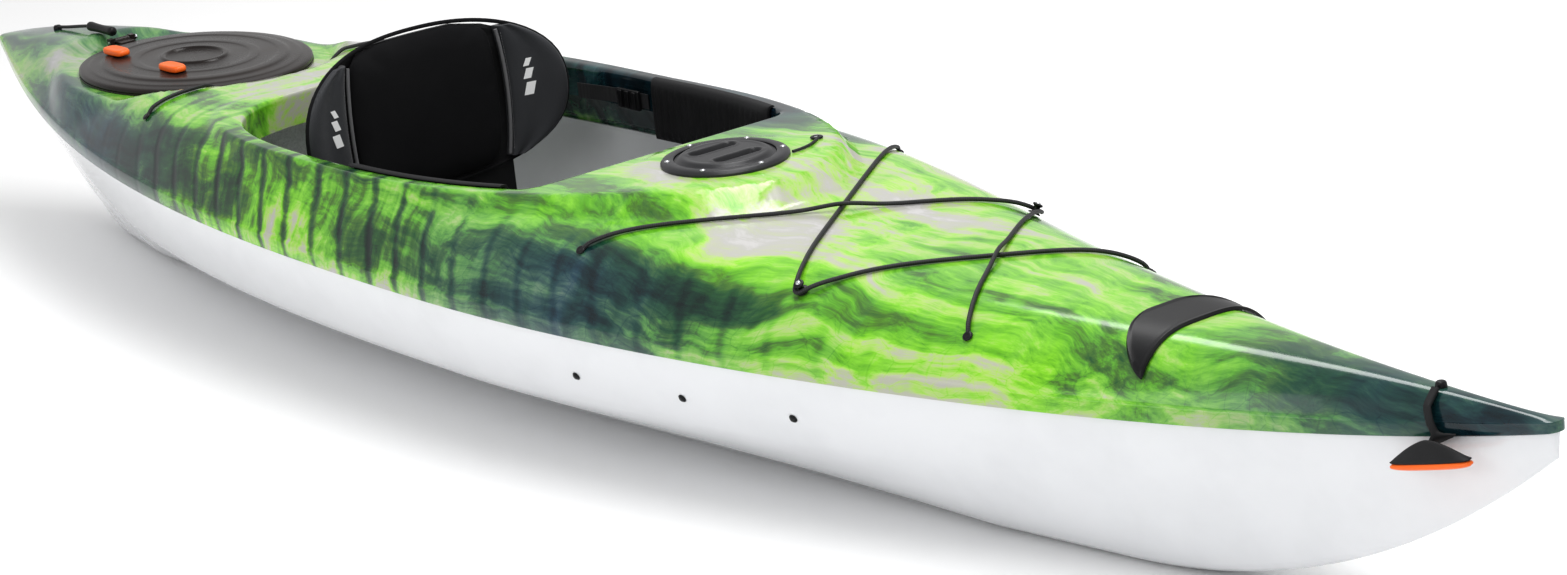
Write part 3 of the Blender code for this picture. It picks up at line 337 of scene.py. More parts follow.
def smooth(value, low, high):
    share = np.clip((value - low) / (high - low), 0.0, 1.0)
    return share * share * (3 - 2 * share)


def crown(x):
    t, fore = station(x)
    return np.where(fore, 0.112 - 0.030 * t - 0.058 * t**3, 0.112 - 0.010 * t - 0.062 * t**3) * (1 - t**14)


def shoulder(x):
    t, fore = station(x)
    return np.where(fore, 9.5 - 5.5 * smooth(t, 0.1, 0.5) - 1.5 * t**4,
                    11.0 - 6.5 * smooth(t, 0.3, 0.7) - t**4)


def coaming_inset(x, y):
    fore = np.asarray(x) > COAMING_X
    power = np.where(fore, OVAL_FORE, OVAL_AFT)
    along = np.abs(x - COAMING_X) / np.where(fore, COAMING_FORE, COAMING_AFT)
    across = np.abs(y) / COAMING_HALF
    return (1 - (along**power + across**power) ** (1 / power)) * COAMING_HALF


def coaming_top(x):
    return COAMING_Z + (CONSOLE_Z - COAMING_Z) * np.clip((x + 0.25) / 0.6, 0, 1) ** 1.5


def deck_z(x, y):
    """Height of the deck's outer skin, with the coaming, the console and the hatch seat."""
    half = gunwale_half(x)
    low = gunwale_z(x) + band(x)
    base = low + crown(x) * (1 - np.clip(np.abs(y) / half, 0, 1) ** shoulder(x))
    inset = coaming_inset(x, y)
    z = base + (coaming_top(x) - base) * smooth(inset, -0.003, 0.013)
    console = np.hypot(x - CONSOLE_HATCH_X, y)
    z = z + (CONSOLE_Z - z) * (1 - smooth(console, CONSOLE_RING_R + 0.024, CONSOLE_RING_R + 0.05))
    hatch = np.hypot((x - STERN_HATCH_X) / (STERN_HATCH_A + 0.045), y / (STERN_HATCH_B + 0.022))
    return z + (STERN_HATCH_Z - z) * (1 - smooth(hatch, 1.0, 1.16))


def opening_outline():
    """Port half of the cockpit opening, from the aft centre round to the console's middle."""
    shrink = 1 - LIP / COAMING_HALF
    wide = COAMING_HALF * shrink
    points = []
    for angle in np.linspace(0, 90, 28):
        a = radians(angle)
        points.append((COAMING_X - COAMING_AFT * shrink * cos(a) ** (2 / OVAL_AFT),
                       wide * sin(a) ** (2 / OVAL_AFT)))
    long = COAMING_FORE * shrink
    for x in np.linspace(0, CONSOLE_AFT - 0.03 - COAMING_X, 28)[1:]:
        points.append((COAMING_X + x, wide * (1 - (x / long) ** OVAL_FORE) ** (1 / OVAL_FORE)))
    corner_y = points[-1][1]
    for angle in np.linspace(0, 90, 9)[1:]:
        a = radians(angle)
        points.append((CONSOLE_AFT - 0.03 + 0.03 * sin(a),
                       corner_y - 0.034 * (1 - cos(a)) - 0.004 * sin(a)))
    for y in np.linspace(points[-1][1], 0, 18)[1:]:
        points.append((CONSOLE_AFT, y))
    return points


WALL_DROPS = (-FLANGE, -0.036, -0.018, -0.0085)
LIP_ROWS = ((0.0007, -0.0052), (0.0022, -0.0027), (0.0045, -0.0011), (0.0075, -0.0003), (0.011, 0.0))
ACROSS = 1 - (1 - np.linspace(0, 1, 42)) ** 1.6


def deck_column(inner, outer_x, opening):
    """Points from the inner edge over the deck to the gunwale, and down the flanged skirt."""
    half = float(gunwale_half(outer_x))
    start, stop = Vector(inner), Vector((outer_x, half - 0.0035 * min(1.0, half / 0.06)))
    away = (stop - start).normalized() if (stop - start).length > 0.03 else Vector((0, 1))
    points = []
    for drop in WALL_DROPS:
        points.append((start.x, start.y, float(deck_z(*start)) + (drop if opening else 0.0)))
    for offset, drop in LIP_ROWS:
        spot = start + away * offset * min(1.0, (stop - start).length / 0.05)
        points.append((spot.x, spot.y, float(deck_z(*spot)) + (drop if opening else 0.0)))
    from_lip = Vector(points[-1][:2])
    low = float(gunwale_z(outer_x) + band(outer_x))
    for share in ACROSS[1:]:
        spot = from_lip.lerp(stop, share)
        reach = half if spot.y >= half else spot.y * half / stop.y
        points.append((spot.x, spot.y, float(deck_z(spot.x, max(spot.y, reach)))))
    seam = float(gunwale_z(outer_x))
    for out, z in ((stop.y + 0.0012, low - 0.0010), (half - 0.0006, low - 0.0030), (half, low - 0.0060),
                   (half, (low + seam) / 2), (half, seam + 0.0015), (half - 0.0010, seam)):
        points.append((outer_x, out, z))
    return points


def nose_round(columns):
    """Bring the last few millimetres of both tips round to the centreline."""
    for column in columns:
        for k, (x, y, z) in enumerate(column):
            over = max(0.0, (abs(x) - HALF + 0.014) / 0.014)
            column[k] = (x, y * max(0.0, 1 - over**2) ** 0.5, z)
    return columns


DECK_TIP = (0.0, 0.0008, 0.002, 0.0045, 0.008, 0.014, 0.022)
columns = []
for x in [-HALF + s for s in DECK_TIP] + list(np.linspace(-HALF + 0.034, -0.85, 84)):
    centre = (x + 0.12 * float(smooth(x, -1.15, -0.80)), 0.0)
    columns.append(deck_column(centre, x, False))
first_open = len(columns)
for x, y in opening_outline():
    spread = 0.13 if x > COAMING_X else -0.12
    columns.append(deck_column((x, y), x + (1 - abs(y) / (COAMING_HALF - LIP)) * spread, True))
last_open = len(columns) - 1
for x in list(np.linspace(0.32, HALF - 0.034, 96)) + [HALF - s for s in reversed(DECK_TIP)]:
    centre = (x - 0.13 * (1 - float(smooth(x, 0.30, 0.70))), 0.0)
    columns.append(deck_column(centre, x, False))


def with_channel(tree, colour, name):
    return node(tree, "ShaderNodeSeparateColor", {"Color": colour}).outputs[name]


def sum_of(tree, a, b, operation="ADD", clamp=False):
    made = node(tree, "ShaderNodeMath", {0: a, 1: b}, operation=operation, use_clamp=clamp)
    return made.outputs["Value"]


def ramp(tree, factor, stops):
    """A colour ramp through (place, colour) stops."""
    made = node(tree, "ShaderNodeValToRGB", {"Fac": factor})
    band_of = made.color_ramp
    band_of.elements[0].position, band_of.elements[1].position = stops[0][0], stops[-1][0]
    band_of.elements[0].color, band_of.elements[1].color = (*stops[0][1], 1), (*stops[-1][1], 1)
    for place, colour in stops[1:-1]:
        band_of.elements.new(place).color = (*colour, 1)
    return made.outputs["Color"]


def blend_colours(tree, factor, one, two):
    made = node(tree, "ShaderNodeMix", {0: factor, 6: one, 7: two}, data_type="RGBA")
    return made.outputs[2]


def marbled_deck():
    """Swirled sheet: one drift of tone along the boat, streaked by stretched noise.

    The drift ramps hold tone, share of blue and strength of ribs in their three channels, at
    stations along the boat, for the upper deck and for its flanks.
    """
    material, tree, shader = finish_named("deck_marbled_gloss", 0.13)
    place = node(tree, "ShaderNodeTexCoord").outputs["Object"]
    axes = node(tree, "ShaderNodeSeparateXYZ", {"Vector": place}).outputs
    flank = node(tree, "ShaderNodeAttribute", attribute_name="flank").outputs["Fac"]
    skirt = node(tree, "ShaderNodeAttribute", attribute_name="skirt").outputs["Fac"]
    swirl = node(tree, "ShaderNodeTexNoise", {"Vector": place, "Scale": 2.1, "Detail": 4.0})
    push = node(tree, "ShaderNodeVectorMath", {0: swirl.outputs["Color"], 1: (0.5, 0.5, 0.5)},
                operation="SUBTRACT")
    push = node(tree, "ShaderNodeVectorMath", {0: push.outputs[0], "Scale": 0.30}, operation="SCALE")
    bent = node(tree, "ShaderNodeVectorMath", {0: place, 1: push.outputs[0]}, operation="ADD").outputs[0]
    drifted = node(tree, "ShaderNodeSeparateXYZ", {"Vector": bent}).outputs["X"]
    wander = sum_of(tree, sum_of(tree, drifted, axes["X"], "SUBTRACT"), 0.8, "MULTIPLY")
    along = node(tree, "ShaderNodeMapRange", {"Value": sum_of(tree, axes["X"], wander), "From Min": -HALF,
                                              "From Max": HALF}).outputs["Result"]

    def stops(rows):
        return [((x + HALF) / (2 * HALF), values) for x, *values in rows]

    upper = ramp(tree, along, stops([
        (-1.80, 0.30, 0.55, 0.0), (-1.55, 0.36, 0.60, 0.0), (-1.42, 0.58, 0.75, 0.0),
        (-1.20, 0.50, 0.30, 0.0), (-0.92, 0.72, 0.25, 0.2), (-0.70, 0.70, 0.15, 0.6),
        (-0.35, 0.66, 0.20, 0.8), (-0.05, 0.54, 0.30, 0.3), (0.18, 0.52, 0.25, 0.1),
        (0.36, 0.70, 0.15, 0.0), (0.60, 0.76, 0.10, 0.0), (0.86, 0.62, 0.18, 0.0),
        (1.10, 0.70, 0.12, 0.0), (1.28, 0.56, 0.18, 0.0), (1.46, 0.40, 0.35, 0.0),
        (1.62, 0.20, 0.70, 0.0), (1.82, 0.14, 0.80, 0.0)]))
    lower = ramp(tree, along, stops([
        (-1.80, 0.44, 0.35, 0.0), (-1.55, 0.42, 0.30, 0.0), (-1.34, 0.26, 0.80, 0.1),
        (-1.00, 0.17, 0.90, 0.2), (-0.82, 0.30, 0.45, 0.6), (-0.62, 0.50, 0.00, 1.0),
        (-0.30, 0.50, 0.05, 1.2), (-0.02, 0.42, 0.20, 1.0), (0.18, 0.30, 0.65, 0.6),
        (0.40, 0.24, 0.90, 0.5), (0.58, 0.28, 0.45, 0.5), (0.72, 0.42, 0.20, 0.4),
        (0.90, 0.60, 0.10, 0.2), (1.14, 0.58, 0.00, 0.0), (1.32, 0.58, 0.35, 0.0),
        (1.52, 0.38, 0.55, 0.0), (1.70, 0.16, 0.80, 0.0), (1.82, 0.12, 0.80, 0.0)]))
    turn = node(tree, "ShaderNodeMapRange",
                {"Value": sum_of(tree, flank, sum_of(tree, wander, 0.5, "MULTIPLY")),
                 "From Min": 0.72, "From Max": 0.93}, interpolation_type="SMOOTHSTEP")
    drift = blend_colours(tree, turn.outputs["Result"], upper, lower)
    tone, blue, ribs = (with_channel(tree, drift, name) for name in ("Red", "Green", "Blue"))

    stretched = node(tree, "ShaderNodeMapping", {"Vector": bent, "Scale": (1.15, 9.0, 9.0)}).outputs[0]
    streak = node(tree, "ShaderNodeTexNoise", {"Vector": stretched, "Scale": 1.0, "Detail": 8.0,
                                               "Roughness": 0.62, "Distortion": 0.5}).outputs["Fac"]
    fine = node(tree, "ShaderNodeMapping", {"Vector": bent, "Scale": (5.0, 42.0, 42.0)}).outputs[0]
    thread = node(tree, "ShaderNodeTexNoise", {"Vector": fine, "Scale": 1.0, "Detail": 6.0,
                                               "Roughness": 0.7}).outputs["Fac"]
    upright = node(tree, "ShaderNodeMapping", {"Vector": bent, "Scale": (24.0, 3.0, 3.0)}).outputs[0]
    drawn = node(tree, "ShaderNodeTexNoise", {"Vector": upright, "Scale": 1.0, "Detail": 6.0,
                                              "Roughness": 0.6}).outputs["Fac"]
    slant = sum_of(tree, sum_of(tree, axes["X"], sum_of(tree, axes["Z"], 0.35, "MULTIPLY")),
                   sum_of(tree, wander, 0.45, "MULTIPLY"))
    rib_wave = node(tree, "ShaderNodeMath", {0: sum_of(tree, slant, 2 * pi / 0.150, "MULTIPLY")},
                    operation="SINE")
    rib_line = node(tree, "ShaderNodeMath", {0: rib_wave.outputs[0]}, operation="ABSOLUTE").outputs[0]
    groove = node(tree, "ShaderNodeMapRange", {"Value": rib_line, "From Min": 0.0, "From Max": 0.55,
                                               "To Min": -0.20, "To Max": 0.06},
                  interpolation_type="SMOOTHSTEP").outputs["Result"]

    def centred(value, gain):
        return sum_of(tree, sum_of(tree, value, 0.5, "SUBTRACT"), gain, "MULTIPLY")

    lift = sum_of(tree, sum_of(tree, tone, 0.03, "SUBTRACT"), centred(streak, 1.7))
    lift = sum_of(tree, lift, centred(thread, 0.60))
    rib_tone = sum_of(tree, sum_of(tree, groove, centred(drawn, 1.1)), ribs, "MULTIPLY")
    lift = sum_of(tree, lift, rib_tone)
    crackle = node(tree, "ShaderNodeTexVoronoi", {"Vector": bent, "Scale": 26.0},
                   feature="DISTANCE_TO_EDGE")
    vein = node(tree, "ShaderNodeMapRange", {"Value": crackle.outputs["Distance"], "From Max": 0.030,
                                             "To Min": -0.10, "To Max": 0.0}).outputs["Result"]
    vein = sum_of(tree, vein, turn.outputs["Result"], "MULTIPLY")
    lift = sum_of(tree, lift, sum_of(tree, vein, drawn, "MULTIPLY"))
    foot = node(tree, "ShaderNodeMapRange",
                {"Value": skirt, "From Min": 0.9, "From Max": 1.25, "To Min": 0.10,
                 "To Max": 0.0}).outputs["Result"]
    lift = sum_of(tree, lift, foot, clamp=True)
    port = node(tree, "ShaderNodeMapRange",
                {"Value": axes["Y"], "From Min": 0.10, "From Max": 0.24}).outputs["Result"]
    beside = ramp(tree, along, stops([(-0.80, 0.0, 0.0, 0.0), (-0.45, 1.0, 1.0, 1.0), (0.15, 1.0, 1.0, 1.0),
                                      (0.34, 0.0, 0.0, 0.0)]))
    port = sum_of(tree, port, beside, "MULTIPLY")
    lift = sum_of(tree, lift, sum_of(tree, port, 0.42, "MULTIPLY"), "SUBTRACT", clamp=True)
    blue = sum_of(tree, sum_of(tree, blue, centred(drawn, 0.7)), sum_of(tree, port, 0.6, "MULTIPLY"),
                  clamp=True)

    greens = ramp(tree, lift, [
        (0.00, (0.004, 0.014, 0.010)), (0.16, (0.008, 0.042, 0.014)), (0.30, (0.022, 0.100, 0.016)),
        (0.42, (0.075, 0.185, 0.014)), (0.50, (0.120, 0.400, 0.010)), (0.62, (0.230, 0.600, 0.022)),
        (0.71, (0.400, 0.620, 0.130)), (0.80, (0.440, 0.460, 0.340)), (0.91, (0.430, 0.425, 0.400)),
        (1.00, (0.500, 0.490, 0.480))])
    blues = ramp(tree, lift, [
        (0.00, (0.003, 0.009, 0.016)), (0.18, (0.006, 0.022, 0.040)), (0.34, (0.016, 0.052, 0.078)),
        (0.48, (0.050, 0.100, 0.115)), (0.60, (0.125, 0.185, 0.165)), (0.72, (0.240, 0.270, 0.260)),
        (0.86, (0.380, 0.375, 0.390)), (1.00, (0.560, 0.550, 0.565))])
    tree.links.new(blend_colours(tree, blue, greens, blues), shader.inputs["Base Color"])
    relief = sum_of(tree, sum_of(tree, groove, ribs, "MULTIPLY"), turn.outputs["Result"], "MULTIPLY")
    bump = node(tree, "ShaderNodeBump", {"Height": relief, "Distance": 0.0035, "Strength": 0.5})
    peel = node(tree, "ShaderNodeTexNoise", {"Vector": place, "Scale": 190.0, "Detail": 2.0})
    skin_bump = node(tree, "ShaderNodeBump",
                     {"Height": peel.outputs["Fac"], "Distance": 0.00012, "Strength": 0.5,
                      "Normal": bump.outputs["Normal"]})
    tree.links.new(skin_bump.outputs["Normal"], shader.inputs["Normal"])
    gloss = node(tree, "ShaderNodeMapRange", {"Value": thread, "To Min": 0.09, "To Max": 0.22})
    tree.links.new(gloss.outputs["Result"], shader.inputs["Roughness"])
    shader.inputs["Specular IOR Level"].default_value = 0.4
    shader.inputs["Coat Weight"].default_value = 0.15
    shader.inputs["Coat Roughness"].default_value = 0.05
    return material


deck_marble = marbled_deck()
deck = half_shell("deck_skin", nose_round(columns), lambda k: 0 if first_open <= k < last_open else 3, WALL,
                  deck_marble)


def drum(name, radius, centre, height, stretch=1.0):
    """Closed oval drum that cuts an opening."""
    shape = bmesh.new()
    bmesh.ops.create_cone(shape, cap_ends=True, segments=96, radius1=radius, radius2=radius, depth=height)
    bmesh.ops.scale(shape, vec=(stretch, 1, 1), verts=shape.verts)
    bmesh.ops.translate(shape, vec=centre, verts=shape.verts)
    mesh = bpy.data.meshes.new(name)
    shape.to_mesh(mesh)
    shape.free()
    return collect(name, mesh, deck_marble)


RIM_WIDE = 0.030
holes = [drum("hatch_hole", STERN_HATCH_B - RIM_WIDE, (STERN_HATCH_X, 0, STERN_HATCH_Z), 0.1,
              (STERN_HATCH_A - RIM_WIDE) / (STERN_HATCH_B - RIM_WIDE)),
         drum("console_hole", CONSOLE_LID_R + 0.0045, (CONSOLE_HATCH_X, 0, CONSOLE_Z), 0.08)]
for hole in holes:
    cut = deck.modifiers.new("opening", "BOOLEAN")
    cut.operation = "DIFFERENCE"
    cut.object = hole
applied(deck, 42)
for hole in holes:
    bpy.data.objects.remove(hole)
spots = np.empty(len(deck.data.vertices) * 3)
deck.data.vertices.foreach_get("co", spots)
spots = spots.reshape(-1, 3)
flank = deck.data.attributes.new("flank", "FLOAT", "POINT")
flank.data.foreach_set("value",
                       np.clip(np.abs(spots[:, 1]) / np.maximum(gunwale_half(spots[:, 0]), 0.004), 0, 1))
skirt = deck.data.attributes.new("skirt", "FLOAT", "POINT")
skirt.data.foreach_set("value", (spots[:, 2] - gunwale_z(spots[:, 0])) / band(spots[:, 0]))
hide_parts("deck_shell")
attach(deck, "boat")

# ---- Stern hatch -------------------------------------------------------------------------
# An oval lid of black-brown plastic on a rim screwed to the deck. Stepped rings stiffen it,
# two orange tabs turn to lock it, and a pin at its aft end lets it lift.
hatch_plastic = moulded("hatch_black_brown", (0.014, 0.010, 0.009), (0.028, 0.021, 0.018), 0.26, 900.0,
                        0.0002)
tab_orange = moulded("tab_orange", (0.92, 0.17, 0.015), (0.80, 0.12, 0.010), 0.36, 700.0, 0.0001)
black_moulded = moulded("moulded_black", (0.006, 0.006, 0.007), (0.014, 0.014, 0.015), 0.36, 800.0, 0.00015)
bright_steel = moulded("stainless", (0.62, 0.63, 0.65), (0.52, 0.53, 0.55), 0.26, 400.0, 0.00003, 1.0)


def skin(name, rings, material, crease=35):
    """Piece through rings of equal counts, capped unless it closes on its first ring.

    Its UVs run in metres along it and once round it.
    """
    points = np.array([[tuple(spot) for spot in ring] for ring in rings], float)
    count, around = points.shape[:2]
    middle = points.mean(axis=1)
    along = np.concatenate([[0.0], np.cumsum(np.linalg.norm(np.diff(middle, axis=0), axis=1))])
    faces, places = [], []
    for i in range(count - 1):
        for j in range(around):
            n = (j + 1) % around
            faces.append((i * around + j, i * around + n, (i + 1) * around + n, (i + 1) * around + j))
            places += [(along[i], j / around), (along[i], (j + 1) / around),
                       (along[i + 1], (j + 1) / around), (along[i + 1], j / around)]
    ends = () if np.allclose(points[0], points[-1]) else (0, count - 1)
    for i in ends:
        faces.append(tuple(i * around + j for j in range(around)))
        places += [(along[i], j / around) for j in range(around)]
    mesh = bpy.data.meshes.new(name)
    mesh.from_pydata(points.reshape(-1, 3).tolist(), [], faces)
    layer = mesh.uv_layers.new(name="UVMap")
    layer.data.foreach_set("uv", np.array(places).reshape(-1))
    shape = bmesh.new()
    shape.from_mesh(mesh)
    bmesh.ops.remove_doubles(shape, verts=shape.verts, dist=0.000004)
    bmesh.ops.recalc_face_normals(shape, faces=shape.faces)
    if shape.calc_volume(signed=True) < 0:
        bmesh.ops.reverse_faces(shape, faces=shape.faces)
    shape.to_mesh(mesh)
    shape.free()
    mesh.shade_smooth()
    mesh.set_sharp_from_angle(angle=radians(crease))
    return collect(name, mesh, material)


def oval(radius, height, centre, stretch=1.0, steps=96):
    """Ring of points round a centre at a height above it."""
    return [(centre[0] + stretch * radius * cos(2 * pi * k / steps),
             centre[1] + radius * sin(2 * pi * k / steps),
             centre[2] + height) for k in range(steps)]


def lathe(name, profile, centre, material, stretch=1.0, steps=96, closed=False, crease=35):
    rings = [oval(max(radius, 0.0), height, centre, stretch, steps) for radius, height in profile]
    return skin(name, rings + ([rings[0]] if closed else []), material, crease)


def rounded(profile, rounds=2):
    return [tuple(point) for point in cut_corners([np.array(point) for point in profile], rounds)]


def wear(node_name, material):
    """Give a frame node its finish."""
    for material_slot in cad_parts[node_name].material_slots:
        material_slot.material = material


hatch_at = (STERN_HATCH_X, 0.0, STERN_HATCH_Z + 0.0004)
stretch = STERN_HATCH_A / STERN_HATCH_B
wide = STERN_HATCH_B
LID_TOP = 0.0190
rim_profile = [(wide - 0.028, 0.008), (wide - 0.022, 0.008), (wide - 0.0205, 0.0032),
               (wide + 0.0008, 0.0028), (wide + 0.001, 0.0), (wide - 0.028, 0.0)]
rim = lathe("hatch_rim_oval", rim_profile, hatch_at, hatch_plastic, stretch, closed=True)
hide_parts("stern_hatch_rim")
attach(rim, "boat")
lid_profile = [(0, 0.0168), (wide * 0.20, 0.0170), (wide * 0.235, 0.0180), (wide * 0.25, 0.0224),
               (wide * 0.285, 0.0222), (wide * 0.30, 0.0176), (wide * 0.46, 0.0174), (wide * 0.48, LID_TOP),
               (wide * 0.55, LID_TOP), (wide * 0.57, 0.0176), (wide * 0.70, 0.0172), (wide * 0.72, 0.0186),
               (wide * 0.79, 0.0182), (wide * 0.82, 0.0152), (wide * 0.90, 0.0146), (wide * 0.92, 0.0130),
               (wide * 0.985, 0.0112), (wide, 0.0086)]
lid_under = [(wide, 0.0036), (wide - 0.004, 0.0036), (wide - 0.005, 0.0070), (wide - 0.017, 0.0070),
             (wide - 0.019, 0.0100), (0, 0.0100)]
lid = lathe("hatch_lid_oval", rounded(lid_profile) + lid_under, hatch_at, hatch_plastic, stretch, 128,
            crease=50)
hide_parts("stern_hatch_lid")
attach(lid, "stern_lid")
hinge_low, hinge_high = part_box("stern_hatch_hinge_pin")
hinge_x, hinge_z = (hinge_low[0] + hinge_high[0]) / 2, (hinge_low[2] + hinge_high[2]) / 2


def block(name, low, high, material, bevel=0.0015):
    """Box with softened edges."""
    shape = bmesh.new()
    bmesh.ops.create_cube(shape, size=1.0)
    low, high = Vector(low), Vector(high)
    bmesh.ops.scale(shape, vec=high - low, verts=shape.verts)
    bmesh.ops.translate(shape, vec=(low + high) / 2, verts=shape.verts)
    bmesh.ops.bevel(shape, geom=shape.edges, offset=bevel, segments=3, profile=0.5, affect="EDGES")
    mesh = bpy.data.meshes.new(name)
    shape.to_mesh(mesh)
    shape.free()
    mesh.shade_smooth()
    mesh.set_sharp_from_angle(angle=radians(40))
    return collect(name, mesh, material)


def barrel(name, centre, axis, radius, length, material, steps=32, end=0.0008):
    """Short round bar with softened ends."""
    z = Vector(axis).normalized()
    x = z.orthogonal().normalized()
    y = z.cross(x)
    rings = []
    for r, h in ((0, -length / 2), (radius - end, -length / 2), (radius, -length / 2 + end),
                 (radius, length / 2 - end), (radius - end, length / 2), (0, length / 2)):
        rings.append([Vector(centre) + z * h + (x * cos(a) + y * sin(a)) * r
                      for a in np.linspace(0, 2 * pi, steps, endpoint=False)])
    return skin(name, rings, material)


knuckle = barrel("lid_knuckle", (hinge_x, 0, hinge_z), (0, 1, 0), 0.0058, 0.028, hatch_plastic)
tongue = block("lid_tongue", (hinge_x + 0.0035, -0.0138, hinge_z - 0.0052),
               (STERN_HATCH_X - STERN_HATCH_A + 0.010, 0.0138, hinge_z + 0.0010), hatch_plastic, 0.001)
for piece in (knuckle, tongue):
    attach(piece, "stern_lid")
wear("stern_hatch_hinge", hatch_plastic)
wear("stern_hatch_hinge_pin", bright_steel)


def tab(name, body, cad_node):
    """Locking tab: a rounded bar over a round boss, with a dished thumb face."""
    low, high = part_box(cad_node)
    at = ((low[0] + high[0]) / 2, (low[1] + high[1]) / 2, low[2])
    half_x, half_y, tall = (high[0] - low[0]) / 2, (high[1] - low[1]) / 2, high[2] - low[2]
    rings = []
    for share, height in ((0.0, 0.0), (0.90, 0.0), (0.97, 0.0006), (1.0, 0.0022), (1.0, tall * 0.55),
                          (0.97, tall * 0.8), (0.90, tall * 0.95), (0.80, tall), (0.62, tall * 0.96),
                          (0.3, tall * 0.90), (0.0, tall * 0.88)):
        ring = []
        for k in range(64):
            a = 2 * pi * k / 64
            power = 2 / 3.4
            x = abs(cos(a)) ** power * (1 if cos(a) > 0 else -1)
            y = abs(sin(a)) ** power * (1 if sin(a) > 0 else -1)
            ring.append((at[0] + half_x * share * x, at[1] + half_y * share * y, at[2] + height))
        rings.append(ring)
    piece = skin(name, rings, tab_orange, 45)
    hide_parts(cad_node)
    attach(piece, body)


tab("latch_tab_aft", "latch_aft", "hatch_latch_aft")
tab("latch_tab_fore", "latch_fore", "hatch_latch_fore")


def rubber_finish(name, colour, height):
    return moulded(name, colour, tuple(c * 1.8 for c in colour), 0.62, 1400.0, height)


seal_rubber = rubber_finish("seal_rubber", (0.012, 0.012, 0.012), 0.0002)
wear("stern_hatch_seal", seal_rubber)

# ---- Console hatch -----------------------------------------------------------------------
# A round screw-in lid on the console in front of the paddler. Two long finger wells leave a
# grip bar between them, and small screws hold the ring to the deck.
console_at = (CONSOLE_HATCH_X, 0.0, CONSOLE_Z + 0.0004)
r = CONSOLE_LID_R
bore = r + 0.0012
console_grey = moulded("console_grey_black", (0.022, 0.022, 0.024), (0.040, 0.040, 0.043), 0.32, 900.0,
                       0.0002)
ring_profile = [(bore, 0.0072), (bore + 0.002, 0.0082), (CONSOLE_RING_R - 0.007, 0.0080),
                (CONSOLE_RING_R - 0.0025, 0.0060), (CONSOLE_RING_R, 0.0030), (CONSOLE_RING_R, 0.0),
                (r + 0.0035, 0.0), (r + 0.0035, -0.020), (r - 0.014, -0.020), (r - 0.014, -0.0165),
                (bore, -0.0165)]
ring = lathe("console_ring", ring_profile, console_at, console_grey, closed=True)
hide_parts("console_hatch_ring")
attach(ring, "boat")


def console_lid():
    """Dished lid whose top is carried down into two finger wells."""
    steps = 144
    rings = []
    for share in np.concatenate([np.linspace(0, 0.93, 38), [0.96, 0.985, 1.0]]):
        row = []
        for k in range(steps):
            a = 2 * pi * k / steps
            x, y = r * share * cos(a), r * share * sin(a)
            height = 0.0105 + 0.0006 * float(smooth(share, 0.74, 0.80))
            height -= 0.0055 * float(smooth(share, 0.84, 1.0))
            for shift in (-0.0285, 0.0285):
                away = np.hypot(x - shift, max(0.0, abs(y) - 0.0285))
                height -= 0.0115 * float(1 - smooth(away, 0.0055, 0.0115))
                height += 0.0010 * float(np.exp(-((away - 0.0135) / 0.0022) ** 2))
            row.append((console_at[0] + x, y, console_at[2] + height))
        rings.append(row)
    rings.append(oval(r, -0.0126, console_at, 1.0, steps))
    rings.append(oval(0.0, -0.0126, console_at, 1.0, steps))
    return skin("console_lid", rings, console_grey, 60)


piece = console_lid()
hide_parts("console_hatch_lid")
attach(piece, "console_lid")
wear("console_hatch_seal", seal_rubber)


def screw_ring_tree():
    """Geometry nodes that set domed screw heads evenly round an oval."""
    takes = (("Count", "Int"), ("Radius", "Float"), ("Stretch", "Float"), ("Head", "Float"),
             ("Centre", "Vector"), ("Finish", "Material"))
    tree, given, out, sockets = node_group("screw_ring", "GeometryNodeTree", takes, (("Screws", "Geometry"),))
    circle_line = node(tree, "GeometryNodeMeshCircle",
                       {"Vertices": given["Count"], "Radius": given["Radius"]})
    oval_scale = node(tree, "ShaderNodeCombineXYZ", {"X": given["Stretch"], "Y": 1.0, "Z": 1.0})
    seat = node(tree, "GeometryNodeTransform", {"Geometry": circle_line.outputs["Mesh"],
                                                "Translation": given["Centre"],
                                                "Scale": oval_scale.outputs[0]})
    head = node(tree, "GeometryNodeMeshUVSphere", {"Segments": 14, "Rings": 8, "Radius": given["Head"]})
    low = node(tree, "GeometryNodeTransform", {"Geometry": head.outputs["Mesh"], "Scale": (1.0, 1.0, 0.42)})
    placed = node(tree, "GeometryNodeInstanceOnPoints",
                  {"Points": seat.outputs[0], "Instance": low.outputs[0]})
    real = node(tree, "GeometryNodeRealizeInstances", {"Geometry": placed.outputs[0]})
    smoothed = node(tree, "GeometryNodeSetShadeSmooth", {"Geometry": real.outputs[0]})
    coloured = node(tree, "GeometryNodeSetMaterial",
                    {"Geometry": smoothed.outputs[0], "Material": given["Finish"]})
    tree.links.new(coloured.outputs[0], out[0])
    return tree, sockets


def grown(name, tree, values, material):
    """Run a geometry nodes tree on an empty mesh and keep its result as plain mesh."""
    obj = collect(name, bpy.data.meshes.new(name), material)
    grow = obj.modifiers.new("grow", "NODES")
    grow.node_group = tree
    for identifier, value in values.items():
        grow[identifier] = value
    graph = bpy.context.evaluated_depsgraph_get()
    graph.update()
    mesh = bpy.data.meshes.new_from_object(obj.evaluated_get(graph))
    obj.modifiers.clear()
    obj.data = mesh
    return obj


screw_ring, ring_sockets = screw_ring_tree()
values = {"Count": 6, "Radius": (CONSOLE_RING_R + bore) / 2, "Stretch": 1.0, "Head": 0.0042,
          "Centre": (console_at[0], 0.0, console_at[2] + 0.0078), "Finish": bright_steel}
screws = grown("console_ring_screws", screw_ring, {ring_sockets[key]: value for key, value in values.items()},
               bright_steel)
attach(screws, "boat")


